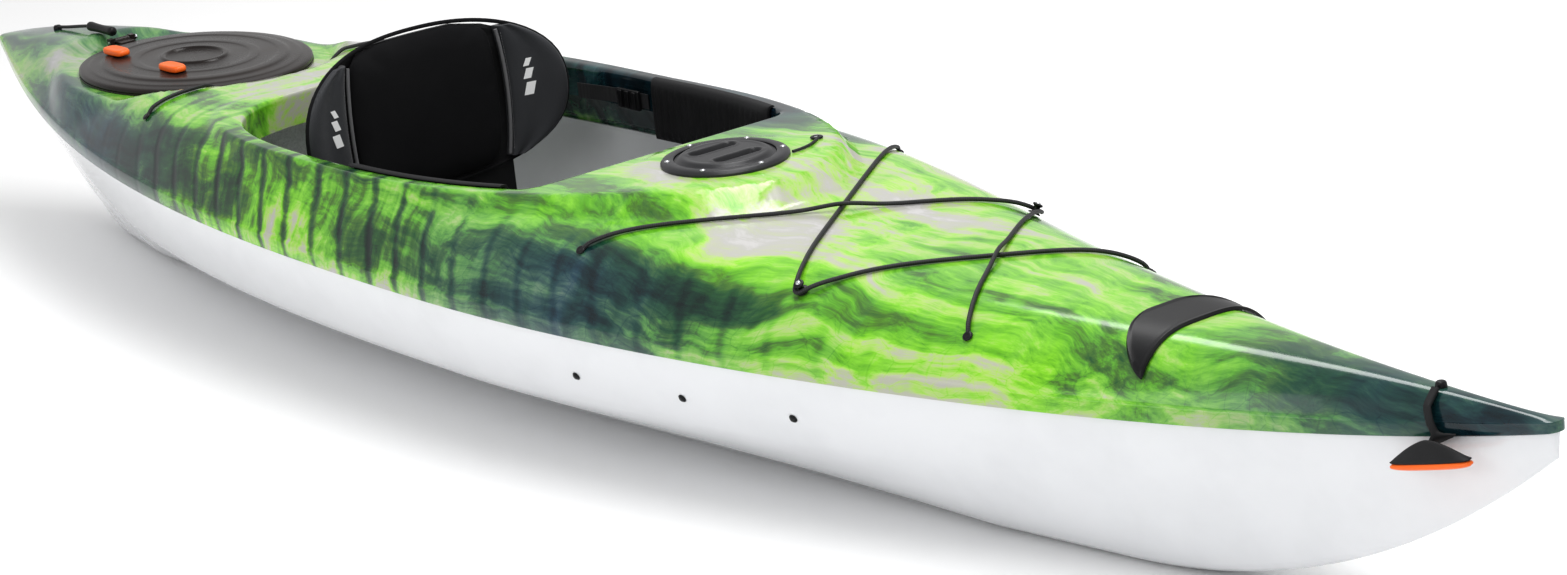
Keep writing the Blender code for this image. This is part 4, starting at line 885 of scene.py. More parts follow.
def braid_group():
    """Crossed strands of a braided cord, read off the piece's own UV map."""
    takes = (("Colour", "Color"), ("Strand Colour", "Color"), ("Pitch", "Float"), ("Height", "Float"))
    gives = (("Colour", "Color"), ("Normal", "Vector"))
    group, given, out, _ = node_group("braided_cord", "ShaderNodeTree", takes, gives)
    place = node(group, "ShaderNodeSeparateXYZ",
                 {"Vector": node(group, "ShaderNodeTexCoord").outputs["UV"]}).outputs
    along = sum_of(group, place["X"], given["Pitch"], "DIVIDE")
    strands = []
    for sign in (3.0, -3.0):
        phase = sum_of(group, along, sum_of(group, place["Y"], sign, "MULTIPLY"))
        wave = node(group, "ShaderNodeMath", {0: sum_of(group, phase, 2 * pi, "MULTIPLY")},
                    operation="SINE")
        strands.append(wave.outputs[0])
    weave = sum_of(group, sum_of(group, strands[0], strands[1], "MULTIPLY"), 0.5, "MULTIPLY")
    weave = sum_of(group, weave, 0.5, clamp=True)
    group.links.new(blend_colours(group, weave, given["Colour"], given["Strand Colour"]), out["Colour"])
    bump = node(group, "ShaderNodeBump", {"Height": weave, "Distance": given["Height"], "Strength": 0.8})
    group.links.new(bump.outputs["Normal"], out["Normal"])
    return group


braid = braid_group()


def braided(name, colour, strand, pitch, height, roughness):
    material, tree, shader = finish_named(name, roughness)
    strands = node(tree, "ShaderNodeGroup", node_tree=braid)
    strands.inputs["Colour"].default_value = (*colour, 1.0)
    strands.inputs["Strand Colour"].default_value = (*strand, 1.0)
    strands.inputs["Pitch"].default_value = pitch
    strands.inputs["Height"].default_value = height
    tree.links.new(strands.outputs["Colour"], shader.inputs["Base Color"])
    tree.links.new(strands.outputs["Normal"], shader.inputs["Normal"])
    return material


cord_black = braided("cord_braid_black", (0.006, 0.006, 0.007), (0.030, 0.030, 0.032), 0.006, 0.0003, 0.6)


def disc_section(radius, steps=14):
    return [(radius * cos(2 * pi * k / steps), radius * sin(2 * pi * k / steps)) for k in range(steps)]


def sweep(name, path, section, material, normals=None, crease=35):
    """Carry a section along a path. The section may be a function of the share of the way."""
    path = [Vector(point) for point in path]
    last = len(path) - 1
    normal = Vector(normals[0]) if normals else (path[1] - path[0]).orthogonal()
    rings = []
    for k, point in enumerate(path):
        tangent = (path[min(k + 1, last)] - path[max(k - 1, 0)]).normalized()
        normal = Vector(normals[k]) if normals else normal
        normal = (normal - normal.dot(tangent) * tangent).normalized()
        side = tangent.cross(normal)
        outline = section(k / last) if callable(section) else section
        rings.append([point + side * a + normal * b for a, b in outline])
    return skin(name, rings, material, crease)


def deck_normal(x, y):
    """Outward normal of the deck's outer skin."""
    step = 0.002
    slope_x = (float(deck_z(x + step, y)) - float(deck_z(x - step, y))) / (2 * step)
    slope_y = (float(deck_z(x, y + step)) - float(deck_z(x, y - step))) / (2 * step)
    return Vector((-slope_x, -slope_y, 1.0)).normalized()


def over_deck(x, y, height):
    return Vector((x, y, float(deck_z(x, y)))) + deck_normal(x, y) * height


def smooth_path(points, rounds=3):
    spots = [np.array(tuple(point)) for point in points]
    return [Vector(tuple(point)) for point in cut_corners(spots, rounds)]


screw_low, screw_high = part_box("console_tether_screw")
tether_end = Vector(((screw_low[0] + screw_high[0]) / 2 + 0.004, (screw_low[1] + screw_high[1]) / 2, 0))
tether_start = Vector((console_at[0] + 0.0940 * cos(0.9), 0.0940 * sin(0.9), 0))
tether_path = []
for share in np.linspace(0, 1, 9):
    spot = tether_start.lerp(tether_end, share)
    tether_path.append(over_deck(spot.x + 0.008 * sin(pi * share), spot.y, 0.0024))
tether = sweep("console_tether_line", smooth_path(tether_path), disc_section(0.0020), cord_black)
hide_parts("console_hatch_tether")
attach(tether, "boat")
EYE_PROFILE = [(0.0042, 0.0006), (0.0085, 0.0006), (0.0095, 0.0018), (0.0085, 0.0032), (0.0060, 0.0036),
               (0.0042, 0.0032)]
eye_at = (*tether_end.xy - Vector((0.004, 0.0)), float(deck_z(*tether_end.xy)))
tether_eye = lathe("console_tether_eye", EYE_PROFILE, eye_at, black_moulded, closed=True, steps=40)
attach(tether_eye, "boat")
wear("console_tether_screw", bright_steel)

# ---- Seat pan and cushion ----------------------------------------------------------------
# A rotomoulded grey pan bolted over the keel carries the hinge of the backrest. Its cushion
# is foam in black polyester, piped at the edge and quilted in three channels.
pan_grey = moulded("seat_pan_grey", (0.075, 0.080, 0.085), (0.12, 0.125, 0.13), 0.5, 500.0, 0.0004)
wear("seat_pan", pan_grey)


def woven_group():
    """Plain weave over the surface, with a slow fade from rubbing."""
    takes = (("Colour", "Color"), ("Thread Colour", "Color"), ("Threads", "Float"), ("Height", "Float"))
    gives = (("Colour", "Color"), ("Normal", "Vector"))
    group, given, out, _ = node_group("woven_cloth", "ShaderNodeTree", takes, gives)
    place = node(group, "ShaderNodeTexCoord").outputs["Object"]
    axes = node(group, "ShaderNodeSeparateXYZ", {"Vector": place}).outputs
    turns = sum_of(group, given["Threads"], 2 * pi, "MULTIPLY")
    waves = []
    for line in (axes["Y"], sum_of(group, axes["X"], axes["Z"])):
        wave = node(group, "ShaderNodeMath", {0: sum_of(group, line, turns, "MULTIPLY")}, operation="SINE")
        waves.append(wave.outputs[0])
    weave = sum_of(group, sum_of(group, sum_of(group, waves[0], waves[1], "MULTIPLY"), 0.5, "MULTIPLY"),
                   0.5)
    fade = node(group, "ShaderNodeTexNoise", {"Vector": place, "Scale": 14.0, "Detail": 4.0}).outputs["Fac"]
    mixed = sum_of(group, sum_of(group, weave, 0.6, "MULTIPLY"), sum_of(group, fade, 0.5, "MULTIPLY"),
                   clamp=True)
    group.links.new(blend_colours(group, mixed, given["Colour"], given["Thread Colour"]), out["Colour"])
    bump = node(group, "ShaderNodeBump", {"Height": weave, "Distance": given["Height"], "Strength": 0.5})
    group.links.new(bump.outputs["Normal"], out["Normal"])
    return group


woven = woven_group()


def cloth_finish(name, colour, thread, threads, height, roughness, sheen):
    material, tree, shader = finish_named(name, roughness)
    weave = node(tree, "ShaderNodeGroup", node_tree=woven)
    weave.inputs["Colour"].default_value = (*colour, 1.0)
    weave.inputs["Thread Colour"].default_value = (*thread, 1.0)
    weave.inputs["Threads"].default_value = threads
    weave.inputs["Height"].default_value = height
    tree.links.new(weave.outputs["Colour"], shader.inputs["Base Color"])
    tree.links.new(weave.outputs["Normal"], shader.inputs["Normal"])
    shader.inputs["Specular IOR Level"].default_value = 0.2
    shader.inputs["Sheen Weight"].default_value = sheen
    shader.inputs["Sheen Roughness"].default_value = 0.4
    return material


seat_black = cloth_finish("seat_black_cloth", (0.004, 0.004, 0.005), (0.012, 0.012, 0.013), 600.0, 0.0003,
                          0.9, 0.02)
wing_grey = cloth_finish("wing_grey_cloth", (0.022, 0.023, 0.026), (0.060, 0.062, 0.067), 420.0, 0.0005,
                         0.55, 0.15)
piping_grey = cloth_finish("piping_grey", (0.10, 0.10, 0.105), (0.17, 0.17, 0.175), 500.0, 0.0003, 0.5, 0.2)


def plump(obj, cap):
    """Swell a padded piece with a short cloth simulation, and hold every point within a cap."""
    remesh = obj.modifiers.new("even mesh", "REMESH")
    remesh.mode = "VOXEL"
    remesh.voxel_size = 0.005
    applied(obj, 60)
    rest = np.array([vertex.co[:] for vertex in obj.data.vertices])
    cloth = obj.modifiers.new("air", "CLOTH")
    cloth.settings.use_pressure = True
    cloth.settings.uniform_pressure_force = 4.0
    cloth.settings.tension_stiffness = 20.0
    cloth.settings.compression_stiffness = 20.0
    cloth.settings.effector_weights.gravity = 0.0
    for step in range(1, 21):
        bpy.context.scene.frame_set(step)
    graph = bpy.context.evaluated_depsgraph_get()
    swollen = bpy.data.meshes.new_from_object(obj.evaluated_get(graph))
    obj.modifiers.clear()
    moved = np.array([vertex.co[:] for vertex in swollen.vertices])
    shift = moved - rest
    length = np.linalg.norm(shift, axis=1, keepdims=True)
    shift *= np.minimum(1.0, cap / np.maximum(length, 1e-9))
    swollen.vertices.foreach_set("co", (rest + shift).reshape(-1))
    obj.data = swollen
    bpy.context.scene.frame_set(1)
    soften = obj.modifiers.new("soften", "SMOOTH")
    soften.factor = 0.6
    soften.iterations = 6
    finer = obj.modifiers.new("finer", "SUBSURF")
    finer.levels = finer.render_levels = 1
    return applied(obj, 70)


cushion_low, cushion_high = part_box("seat_cushion")


def cushion_shape():
    """Rounded block that follows the pan's dish, with a raised nose under the thighs."""
    rings = []
    for share in np.linspace(0, 1, 40):
        x = cushion_low[0] + 0.004 + (cushion_high[0] - cushion_low[0] - 0.008) * share
        lift = 0.0025 + 0.011 * float(smooth(x, -0.18, -0.06))
        edge = (1 - abs(2 * share - 1) ** 5) ** 0.5
        half = 0.150 * (1 - 0.10 * abs(2 * share - 1) ** 6) * (0.86 + 0.14 * edge)
        ring = []
        for k in range(44):
            a = 2 * pi * k / 44
            y = half * (abs(cos(a)) ** 0.55) * (1 if cos(a) > 0 else -1)
            dish = 0.074 + lift + 0.015 * (y / 0.15) ** 2
            up = 0.5 + 0.5 * sin(a)
            ring.append((x, y, dish + 0.003 + 0.024 * edge * up + 0.0015 * (1 - edge)))
        rings.append(ring)
    return skin("seat_cushion_pad", rings, seat_black, 60)


cushion = plump(cushion_shape(), 0.004)
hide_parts("seat_cushion")
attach(cushion, "boat")

# ---- Backrest ----------------------------------------------------------------------------
# A plastic board with a sewn face: a smooth black centre panel, a grey wing on each side
# that wraps the ribs, and grey piping along the seams. It tilts on two pins in the pan.
BACK_X, BACK_Z, BACK_HALF, BACK_RISE = -0.460, 0.344, 0.240, 0.128
BACK_POWER = 2.4        # power of the backrest's oval
PANEL_HALF = 0.142      # from the middle of the backrest to the panel's seam
PAD_CURVE = 0.300


def wrap_x(y):
    return BACK_X + y * y


def outline_reach(angle):
    """Distance from the backrest's centre to its outer outline."""
    along, up = abs(cos(angle)) / BACK_HALF, abs(sin(angle)) / BACK_RISE
    return (along**BACK_POWER + up**BACK_POWER) ** (-1 / BACK_POWER)


def panel_reach(angle):
    """Distance from the centre to the seam of the middle panel."""
    seam = ((cos(angle) / PANEL_HALF) ** 2 + (sin(angle) / PAD_CURVE) ** 2) ** -0.5
    outer = outline_reach(angle)
    return (seam**-16 + outer**-16) ** (-1 / 16)


def seam_half(z):
    return PANEL_HALF * (1 - ((z - BACK_Z) / PAD_CURVE) ** 2) ** 0.5


def outline_half(z):
    share = min(1.0, abs(z - BACK_Z) / BACK_RISE)
    return BACK_HALF * (1 - share**BACK_POWER) ** (1 / BACK_POWER)


def panel_shape():
    rings = []
    steps = 120
    shares = np.concatenate([np.linspace(0, 0.86, 18), [0.90, 0.935, 0.965, 0.985, 1.0]])
    for share in shares:
        rings.append((share, 0.017 + 0.0075 * (1 - share**2) - 0.015 * (1 - (1 - share**14) ** 0.5)))
    for share in shares[::-1]:
        rings.append((share, 0.001 + 0.0008 * share**14))
    made = []
    for share, front in rings:
        ring = []
        for k in range(steps):
            a = 2 * pi * k / steps
            reach = panel_reach(a) * share * 0.988
            y, z = reach * cos(a), BACK_Z + reach * sin(a)
            ring.append((wrap_x(y) + front, y, z))
        made.append(ring)
    return skin("backrest_panel", made, seat_black, 60)


panel = plump(panel_shape(), 0.003)
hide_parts("backrest_pad")
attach(panel, "backrest")


def wing_front(y, z):
    """How far the wing's face stands in front of the board."""
    inner, outer = seam_half(z) + 0.004, outline_half(z)
    share = np.clip((abs(y) - inner) / max(outer - inner, 0.004), 0, 1)
    swell = (1 - abs(2 * share - 1) ** 4) ** 0.5
    dish = 0.0035 * np.exp(-((share - 0.5) / 0.2) ** 2)
    return 0.003 + 0.017 * float(swell) - float(dish)


def wing_shape(side, word):
    rings = []
    for z in BACK_Z + 0.104 * np.sin(np.linspace(-pi / 2, pi / 2, 44)):
        inner, outer = seam_half(z) + 0.004, outline_half(z)
        outer = max(outer, inner + 0.003)
        front = [(share, wing_front(inner + (outer - inner) * share, z))
                 for share in 0.5 - 0.5 * np.cos(np.linspace(0, pi, 26))]
        back = [(share, 0.0012) for share in np.linspace(1, 0, 8)[1:-1]]
        ring = []
        for share, stand in front + back:
            y = side * (inner + (outer - inner) * share)
            ring.append((wrap_x(y) + stand, y, z))
        rings.append(ring)
    wing = skin("backrest_wing_face_" + word, rings, wing_grey, 60)
    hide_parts("backrest_wing_" + word)
    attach(wing, "backrest")


mark_white, mark_tree, mark_shader = finish_named("printed_mark_white", 0.5)
fleck = node(mark_tree, "ShaderNodeTexNoise", {"Scale": 900.0, "Detail": 2.0})
pale = node(mark_tree, "ShaderNodeMapRange",
            {"Value": fleck.outputs["Fac"], "To Min": 0.72, "To Max": 0.86})
mark_tree.links.new(pale.outputs["Result"], mark_shader.inputs["Base Color"])


WING_MARKS = ((0.384, 0.012, 0.009), (0.366, 0.016, 0.012), (0.342, 0.020, 0.015))
MARK_Y = 0.178


def wing_marks(side, word):
    """Three slanted bars printed on the wing, each a thin raised patch that follows it."""
    for number, (z_mid, tall, broad) in enumerate(WING_MARKS, 1):
        rings = []
        for share in np.linspace(0, 1, 7):
            z = z_mid - tall / 2 + tall * share
            slant = 0.006 * (share - 0.5)
            ys = [MARK_Y + slant + broad * part for part in np.linspace(-0.5, 0.5, 7)]
            over = [(wrap_x(y) + wing_front(y, z) + 0.0007, side * y, z) for y in ys]
            under = [(wrap_x(y) + wing_front(y, z) - 0.0004, side * y, z) for y in reversed(ys)]
            rings.append(over + under)
        mark = skin("wing_mark_%s_%d" % (word, number), rings, mark_white, 50)
        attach(mark, "backrest")


def seam_piping(side, word):
    path = []
    for z in BACK_Z + 0.100 * np.sin(np.linspace(-pi / 2, pi / 2, 40)):
        y = side * (seam_half(z) + 0.0022)
        path.append((wrap_x(y) + 0.0165, y, z))
    piping = sweep("backrest_piping_" + word, path, disc_section(0.0028, 12), piping_grey)
    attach(piping, "backrest")


board_black = moulded("backrest_board_black", (0.014, 0.014, 0.015), (0.03, 0.03, 0.032), 0.5, 600.0,
                      0.0003)
wear("backrest_board", board_black)
for side, word in ((1, "port"), (-1, "starboard")):
    wing_shape(side, word)
    wing_marks(side, word)
    seam_piping(side, word)
    wear("backrest_pin_" + word, bright_steel)

edge_path = []
for k in range(97):
    a = 2 * pi * k / 96
    reach = outline_reach(a) * 0.995
    y, z = reach * cos(a), BACK_Z + reach * sin(a)
    edge_path.append((wrap_x(y) + 0.0065, y, z))
binding = sweep("backrest_edge_binding", edge_path, disc_section(0.0032, 12), seat_black)
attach(binding, "backrest")


def stitch_tree():
    """Geometry nodes that lay short thread stitches end to end along a line."""
    takes = (("Line", "Geometry"), ("Pitch", "Float"), ("Thread", "Float"), ("Finish", "Material"))
    gives = (("Stitches", "Geometry"),)
    tree, given, out, sockets = node_group("stitch_line", "GeometryNodeTree", takes, gives)
    line = node(tree, "GeometryNodeMeshToCurve", {"Mesh": given["Line"]})
    spaced = node(tree, "GeometryNodeResampleCurve", mode="LENGTH")
    tree.links.new(line.outputs[0], spaced.inputs[0])
    tree.links.new(given["Pitch"], spaced.inputs[3])
    heading = node(tree, "GeometryNodeInputTangent")
    turn = node(tree, "FunctionNodeAlignRotationToVector", {"Vector": heading.outputs[0]})
    turn.axis = "Z"
    bead = node(tree, "GeometryNodeMeshUVSphere", {"Segments": 8, "Rings": 6, "Radius": given["Thread"]})
    long = node(tree, "GeometryNodeTransform", {"Geometry": bead.outputs["Mesh"], "Scale": (1.0, 1.0, 3.4)})
    placed = node(tree, "GeometryNodeInstanceOnPoints",
                  {"Points": spaced.outputs[0], "Instance": long.outputs[0],
                   "Rotation": turn.outputs[0]})
    real = node(tree, "GeometryNodeRealizeInstances", {"Geometry": placed.outputs[0]})
    coloured = node(tree, "GeometryNodeSetMaterial",
                    {"Geometry": real.outputs[0], "Material": given["Finish"]})
    tree.links.new(coloured.outputs[0], out[0])
    return tree, sockets


stitch_line, stitch_sockets = stitch_tree()
thread_grey = cloth_finish("stitch_thread_grey", (0.16, 0.16, 0.165), (0.26, 0.26, 0.27), 900.0, 0.0001,
                           0.7, 0.1)


def stitches(name, path, body, pitch=0.0046, thread=0.0005):
    """Sew a line of stitches along a path and let it move with a body."""
    mesh = bpy.data.meshes.new(name)
    mesh.from_pydata([tuple(point) for point in path], [(k, k + 1) for k in range(len(path) - 1)], [])
    obj = collect(name, mesh, thread_grey)
    sew = obj.modifiers.new("sew", "NODES")
    sew.node_group = stitch_line
    for key, value in (("Pitch", pitch), ("Thread", thread), ("Finish", thread_grey)):
        sew[stitch_sockets[key]] = value
    applied(obj, 60)
    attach(obj, body)


for side, word in ((1, "port"), (-1, "starboard")):
    seam = []
    for z in BACK_Z + 0.092 * np.sin(np.linspace(-pi / 2, pi / 2, 40)):
        y = seam_half(z) + 0.0085
        seam.append((wrap_x(y) + wing_front(y, z) + 0.0002, side * y, z))
    stitches("wing_seam_stitches_" + word, seam, "backrest")

# ---- Backrest straps and buckles ---------------------------------------------------------
# Flat nylon webbing on each cockpit wall sets the tilt of the backrest. A moulded buckle
# with two bars grips the loose end.
webbing = cloth_finish("webbing_black", (0.010, 0.010, 0.011), (0.035, 0.035, 0.037), 500.0, 0.0005, 0.7,
                       0.1)
for side, word in ((1, "port"), (-1, "starboard")):
    wear("backrest_strap_" + word, webbing)
    low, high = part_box("strap_buckle_" + word)
    inner_y = low[1] if side > 0 else high[1]
    outer_y = high[1] if side > 0 else low[1]
    near, far = min(inner_y, outer_y), max(inner_y, outer_y)
    frame_piece = block("buckle_frame_" + word, (low[0], near + 0.0025, low[2]), (high[0], far, high[2]),
                        black_moulded, 0.002)
    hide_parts("strap_buckle_" + word)
    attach(frame_piece, "boat")
    for number, share in enumerate((0.10, 0.42, 0.74), 1):
        x = low[0] + (high[0] - low[0]) * share
        bar = block("buckle_bar_%s_%d" % (word, number), (x, near, low[2] + 0.002),
                    (x + 0.009, near + 0.0045, high[2] - 0.002), black_moulded, 0.0015)
        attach(bar, "boat")

# ---- Thigh pads --------------------------------------------------------------------------
# Black EVA foam hooks over the inner edge of the coaming beside each knee. Its face is
# pressed into low ribs so that wet legs don't slip.
pad_rubber = rubber_finish("thigh_pad_foam", (0.010, 0.010, 0.011), 0.0004)


def wall_y(x):
    shrink = 1 - LIP / COAMING_HALF
    fore = x > COAMING_X
    long = (COAMING_FORE if fore else COAMING_AFT) * shrink
    power = OVAL_FORE if fore else OVAL_AFT
    return COAMING_HALF * shrink * (1 - (abs(x - COAMING_X) / long) ** power) ** (1 / power)


def thigh_pad(side, word):
    low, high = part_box("thigh_pad_" + word)
    start, stop = low[0] + 0.001, high[0] - 0.001
    rings = []
    for share in 0.5 - 0.5 * np.cos(np.linspace(0, pi, 150)):
        x = start + (stop - start) * share
        rim = wall_y(x) - 0.0015
        crest = float(coaming_top(x)) + 0.0008
        end = (1 - abs(2 * share - 1) ** 24) ** 0.5
        rib = 0.0014 * float(np.sin(2 * pi * (x - start) / 0.017) > 0.2) * float(smooth(end, 0.9, 0.99))
        thick = 0.004 + 0.008 * end
        line = [(rim - 0.001, crest - 0.092), (rim - 0.001, crest - 0.05), (rim - 0.001, crest - 0.006),
                (rim + 0.002, crest), (rim + 0.009, crest)]
        face = rim - thick - rib
        outer = [(rim + 0.010, crest + 0.0015), (rim + 0.006, crest + 0.0035),
                 (rim - 0.4 * thick, crest + 0.0025), (rim - 0.9 * thick, crest - 0.006),
                 (face, crest - 0.018), (face, crest - 0.05), (face, crest - 0.082),
                 (rim - 0.006, crest - 0.0935)]
        ring = cut_corners([np.array(point) for point in line + outer + line[:1]], 2)[:-1]
        rings.append([(x, side * y, z) for y, z in ring])
    pad = skin("thigh_pad_foam_" + word, rings, pad_rubber, 50)
    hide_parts("thigh_pad_" + word)
    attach(pad, "boat")


thigh_pad(1, "port")
thigh_pad(-1, "starboard")

# ---- Deck rigging ------------------------------------------------------------------------
# Elastic cord in a black braid crosses the foredeck between two moulded hooks, and a short
# cord crosses the deck behind the cockpit. Each end goes through a grommet and is knotted.
CORD_R = 0.0030
RIG = ((0.36, 0.282), (0.7354, 0.209), (1.0076, 0.158))
STERN_CORD_X, STERN_CORD_Y = -0.875, 0.246
HOOK_IN = 0.008
FITTING_LIFT = 0.0002
END_DIP, DIP_REACH = 0.006, 0.012    # each cord dips into its grommet over this way


def upright(name, profile, x, y, lift, material, steps=40):
    """Turned fitting that stands square on the deck."""
    normal = deck_normal(x, y)
    base = over_deck(x, y, lift)
    turn = normal.to_track_quat("Z", "X").to_matrix()
    rings = []
    for radius, height in profile:
        rings.append([base + turn @ Vector((radius * cos(a), radius * sin(a), height))
                      for a in np.linspace(0, 2 * pi, steps, endpoint=False)])
    return skin(name, rings, material)


def fitted(piece, cad_node, body="boat"):
    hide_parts(cad_node)
    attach(piece, body)


HOOK_PROFILE = rounded([(0, 0.0150), (0.0062, 0.0150), (0.0078, 0.0125), (0.0044, 0.0105), (0.0038, 0.0068),
                        (0.0040, 0.0034), (0.0072, 0.0022), (0.0090, 0.0010), (0.0090, 0.0)]) + [(0, 0)]
GROMMET_PROFILE = rounded([(0, 0.0022), (0.0042, 0.0026), (0.0062, 0.0018), (0.0070, 0.0006),
                           (0.0070, 0.0)]) + [(0, 0)]
crossings = [x0 + (x1 - x0) * y0 / (y0 + y1) for (x0, y0), (x1, y1) in zip(RIG, RIG[1:])]


def span(start, stop, count):
    return [(start[0] + (stop[0] - start[0]) * k / count, start[1] + (stop[1] - start[1]) * k / count)
            for k in range(count + 1)]


for side, word, hook_word in ((-1, "over", "port"), (1, "under", "starboard")):
    aft, turn, fore = RIG
    hook = (turn[0], -side * (turn[1] - HOOK_IN))
    bend = [(turn[0] + 0.0075 * sin(radians(a)), hook[1] - side * 0.0075 * cos(radians(a)))
            for a in range(-60, 61, 15)]
    plan = span((aft[0], side * aft[1]), bend[0], 56)[:-1] + bend
    plan += span(bend[-1], (fore[0], side * fore[1]), 44)[1:]
    route = []
    for x, y in plan:
        height = CORD_R + 0.0006
        for crossing in crossings:
            near = float(np.exp(-((x - crossing) / 0.026) ** 2))
            height += (2 * CORD_R + 0.0004 if word == "over" else 0.0) * near
        near_hook = np.hypot(x - hook[0], y - hook[1])
        height += 0.0030 * float(1 - smooth(near_hook, 0.010, 0.06))
        for end in (plan[0], plan[-1]):
            height -= END_DIP * float(1 - smooth(np.hypot(x - end[0], y - end[1]), 0.0, DIP_REACH))
        route.append(over_deck(x, y, height))
    cord = sweep("bungee_cord_" + word, smooth_path(route, 1), disc_section(CORD_R, 16), cord_black)
    fitted(cord, "bow_bungee_" + word)
    fitted(upright("hook_" + hook_word, HOOK_PROFILE, hook[0], hook[1], FITTING_LIFT,
                   black_moulded),
           "bungee_hook_" + hook_word)
    side_word = "port" if side > 0 else "starboard"
    for place_word, (x, y) in (("aft", aft), ("fore", fore)):
        grommet = upright("grommet_%s_%s" % (place_word, side_word), GROMMET_PROFILE, x, side * y,
                          FITTING_LIFT, black_moulded)
        fitted(grommet, "bungee_grommet_%s_%s" % (place_word, side_word))
    cap = upright("hook_cap_screw_" + hook_word,
                  rounded([(0, 0.0022), (0.0026, 0.0020), (0.0036, 0.0)]) + [(0, 0)],
                  hook[0], hook[1], 0.0150, bright_steel, 24)
    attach(cap, "boat")

stern_route = []
for x, y in span((STERN_CORD_X, -STERN_CORD_Y), (STERN_CORD_X, STERN_CORD_Y), 70):
    from_end = STERN_CORD_Y - abs(y)
    height = CORD_R + 0.0006 - END_DIP * float(1 - smooth(from_end, 0.0, DIP_REACH))
    stern_route.append(over_deck(x, y, height))
fitted(sweep("stern_cord", smooth_path(stern_route, 1), disc_section(CORD_R, 16), cord_black),
       "stern_bungee")
for side, word in ((1, "port"), (-1, "starboard")):
    eye = upright("stern_grommet_" + word, GROMMET_PROFILE, STERN_CORD_X, side * STERN_CORD_Y,
                  FITTING_LIFT, black_moulded)
    fitted(eye, "stern_bungee_eye_" + word)

# ---- Carry handles -----------------------------------------------------------------------
# At the bow a rubber strap hangs from a saddle on the deck and spreads into a wide grip with
# an orange edge. At the stern a cord runs from its saddle to a moulded toggle.
anchor_low, anchor_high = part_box("bow_handle_anchor")
strap_low, strap_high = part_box("bow_handle_strap")
grip_low, grip_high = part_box("bow_handle_grip")
handle_rubber = rubber_finish("handle_rubber", (0.014, 0.014, 0.015), 0.0003)
SADDLE = rounded([(0, 0.0072), (0.0045, 0.0072), (0.0066, 0.0052), (0.0072, 0.0016), (0.0072, 0.0)])
SADDLE += [(0, 0)]
bow_x = (anchor_low[0] + anchor_high[0]) / 2
fitted(upright("bow_saddle", SADDLE, bow_x, 0.0, 0.0003, black_moulded), "bow_handle_anchor")


def side_y(x, z):
    """Half-breadth of the boat's outer side at a station and height."""
    if z <= float(gunwale_z(x)):
        section = hull_section(x)
        return float(np.interp(z, [point[1] for point in section], [point[0] for point in section]))
    low = float(gunwale_z(x) + band(x))
    share = np.clip((z - low) / max(float(crown(x)), 0.004), 0, 0.999)
    return float(gunwale_half(x)) * float((1 - share) ** (1 / shoulder(x)))


STRAP_OUTLINE = ((1, 0.4), (0.8, 1), (0, 1.15), (-0.8, 1), (-1, 0.4), (-1, -0.4), (-0.8, -1), (0, -1),
                 (0.8, -1), (1, -0.4))


def bow_handle():
    """Strap and grip in one moulding: narrow over the deck's side, wide at the hand."""
    start_x, grip_x = bow_x + 0.003, (grip_low[0] + grip_high[0]) / 2
    path = [(start_x, -0.0125, float(deck_z(start_x, -0.0125)) + 0.0050)]
    for share in np.linspace(0, 1, 12)[1:]:
        x = start_x + (grip_x - start_x) * share
        z = strap_high[2] - 0.012 - (strap_high[2] - 0.012 - strap_low[2]) * share
        path.append((x, -side_y(x, z) - 0.0072, z))
    route = smooth_path(path, 2)
    normals = [Vector((0.0, -1.0, 0.25 if k < 6 else 0.0)).normalized() for k in range(len(route))]

    def section(share):
        half = 0.0055 + 0.018 * float(smooth(share, 0.72, 1.0))
        return [(half * x, 0.0024 * z) for x, z in STRAP_OUTLINE]

    strap = sweep("bow_strap_moulded", route, section, handle_rubber, normals, 60)
    fitted(strap, "bow_handle_strap", "bow_handle")
    along = Vector((0.97, 0.12, 0.20)).normalized()
    middle = Vector(((grip_low[0] + grip_high[0]) / 2, (grip_low[1] + grip_high[1]) / 2,
                     (grip_low[2] + grip_high[2]) / 2))
    up = Vector((0, 0, 1)) - along * along.z
    up.normalize()
    out = along.cross(up)
    body_rings, edge_rings = [], []
    for share in np.linspace(-1, 1, 49):
        taper = (1 - abs(share) ** 3.2) ** 0.5
        centre = middle + along * (0.056 * share)
        tall = 0.004 + 0.017 * taper * (1 - 0.35 * abs(share))
        deep = 0.0105 * (0.35 + 0.65 * taper)
        crest = 0.024 * (1 - abs(share) ** 1.5)
        ring = []
        for k in range(28):
            a = 2 * pi * k / 28
            rise = crest * sin(a) if sin(a) > 0 else 0.3 * tall * sin(a)
            lean = 1 - 0.55 * max(0.0, sin(a))
            ring.append(centre + up * (rise - 0.004) + out * (deep * cos(a) * lean))
        body_rings.append(ring)
        ring = []
        for k in range(24):
            a = 2 * pi * k / 24
            ring.append(centre + up * (-0.0095 + 0.0056 * (0.3 + 0.7 * taper) * sin(a))
                        + out * ((deep + 0.0012) * cos(a)))
        edge_rings.append(ring)
    grip = skin("bow_grip_body", body_rings, handle_rubber, 60)
    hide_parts("bow_handle_grip")
    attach(grip, "bow_handle")
    edge = skin("bow_grip_edge", edge_rings, tab_orange, 60)
    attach(edge, "bow_handle")


bow_handle()

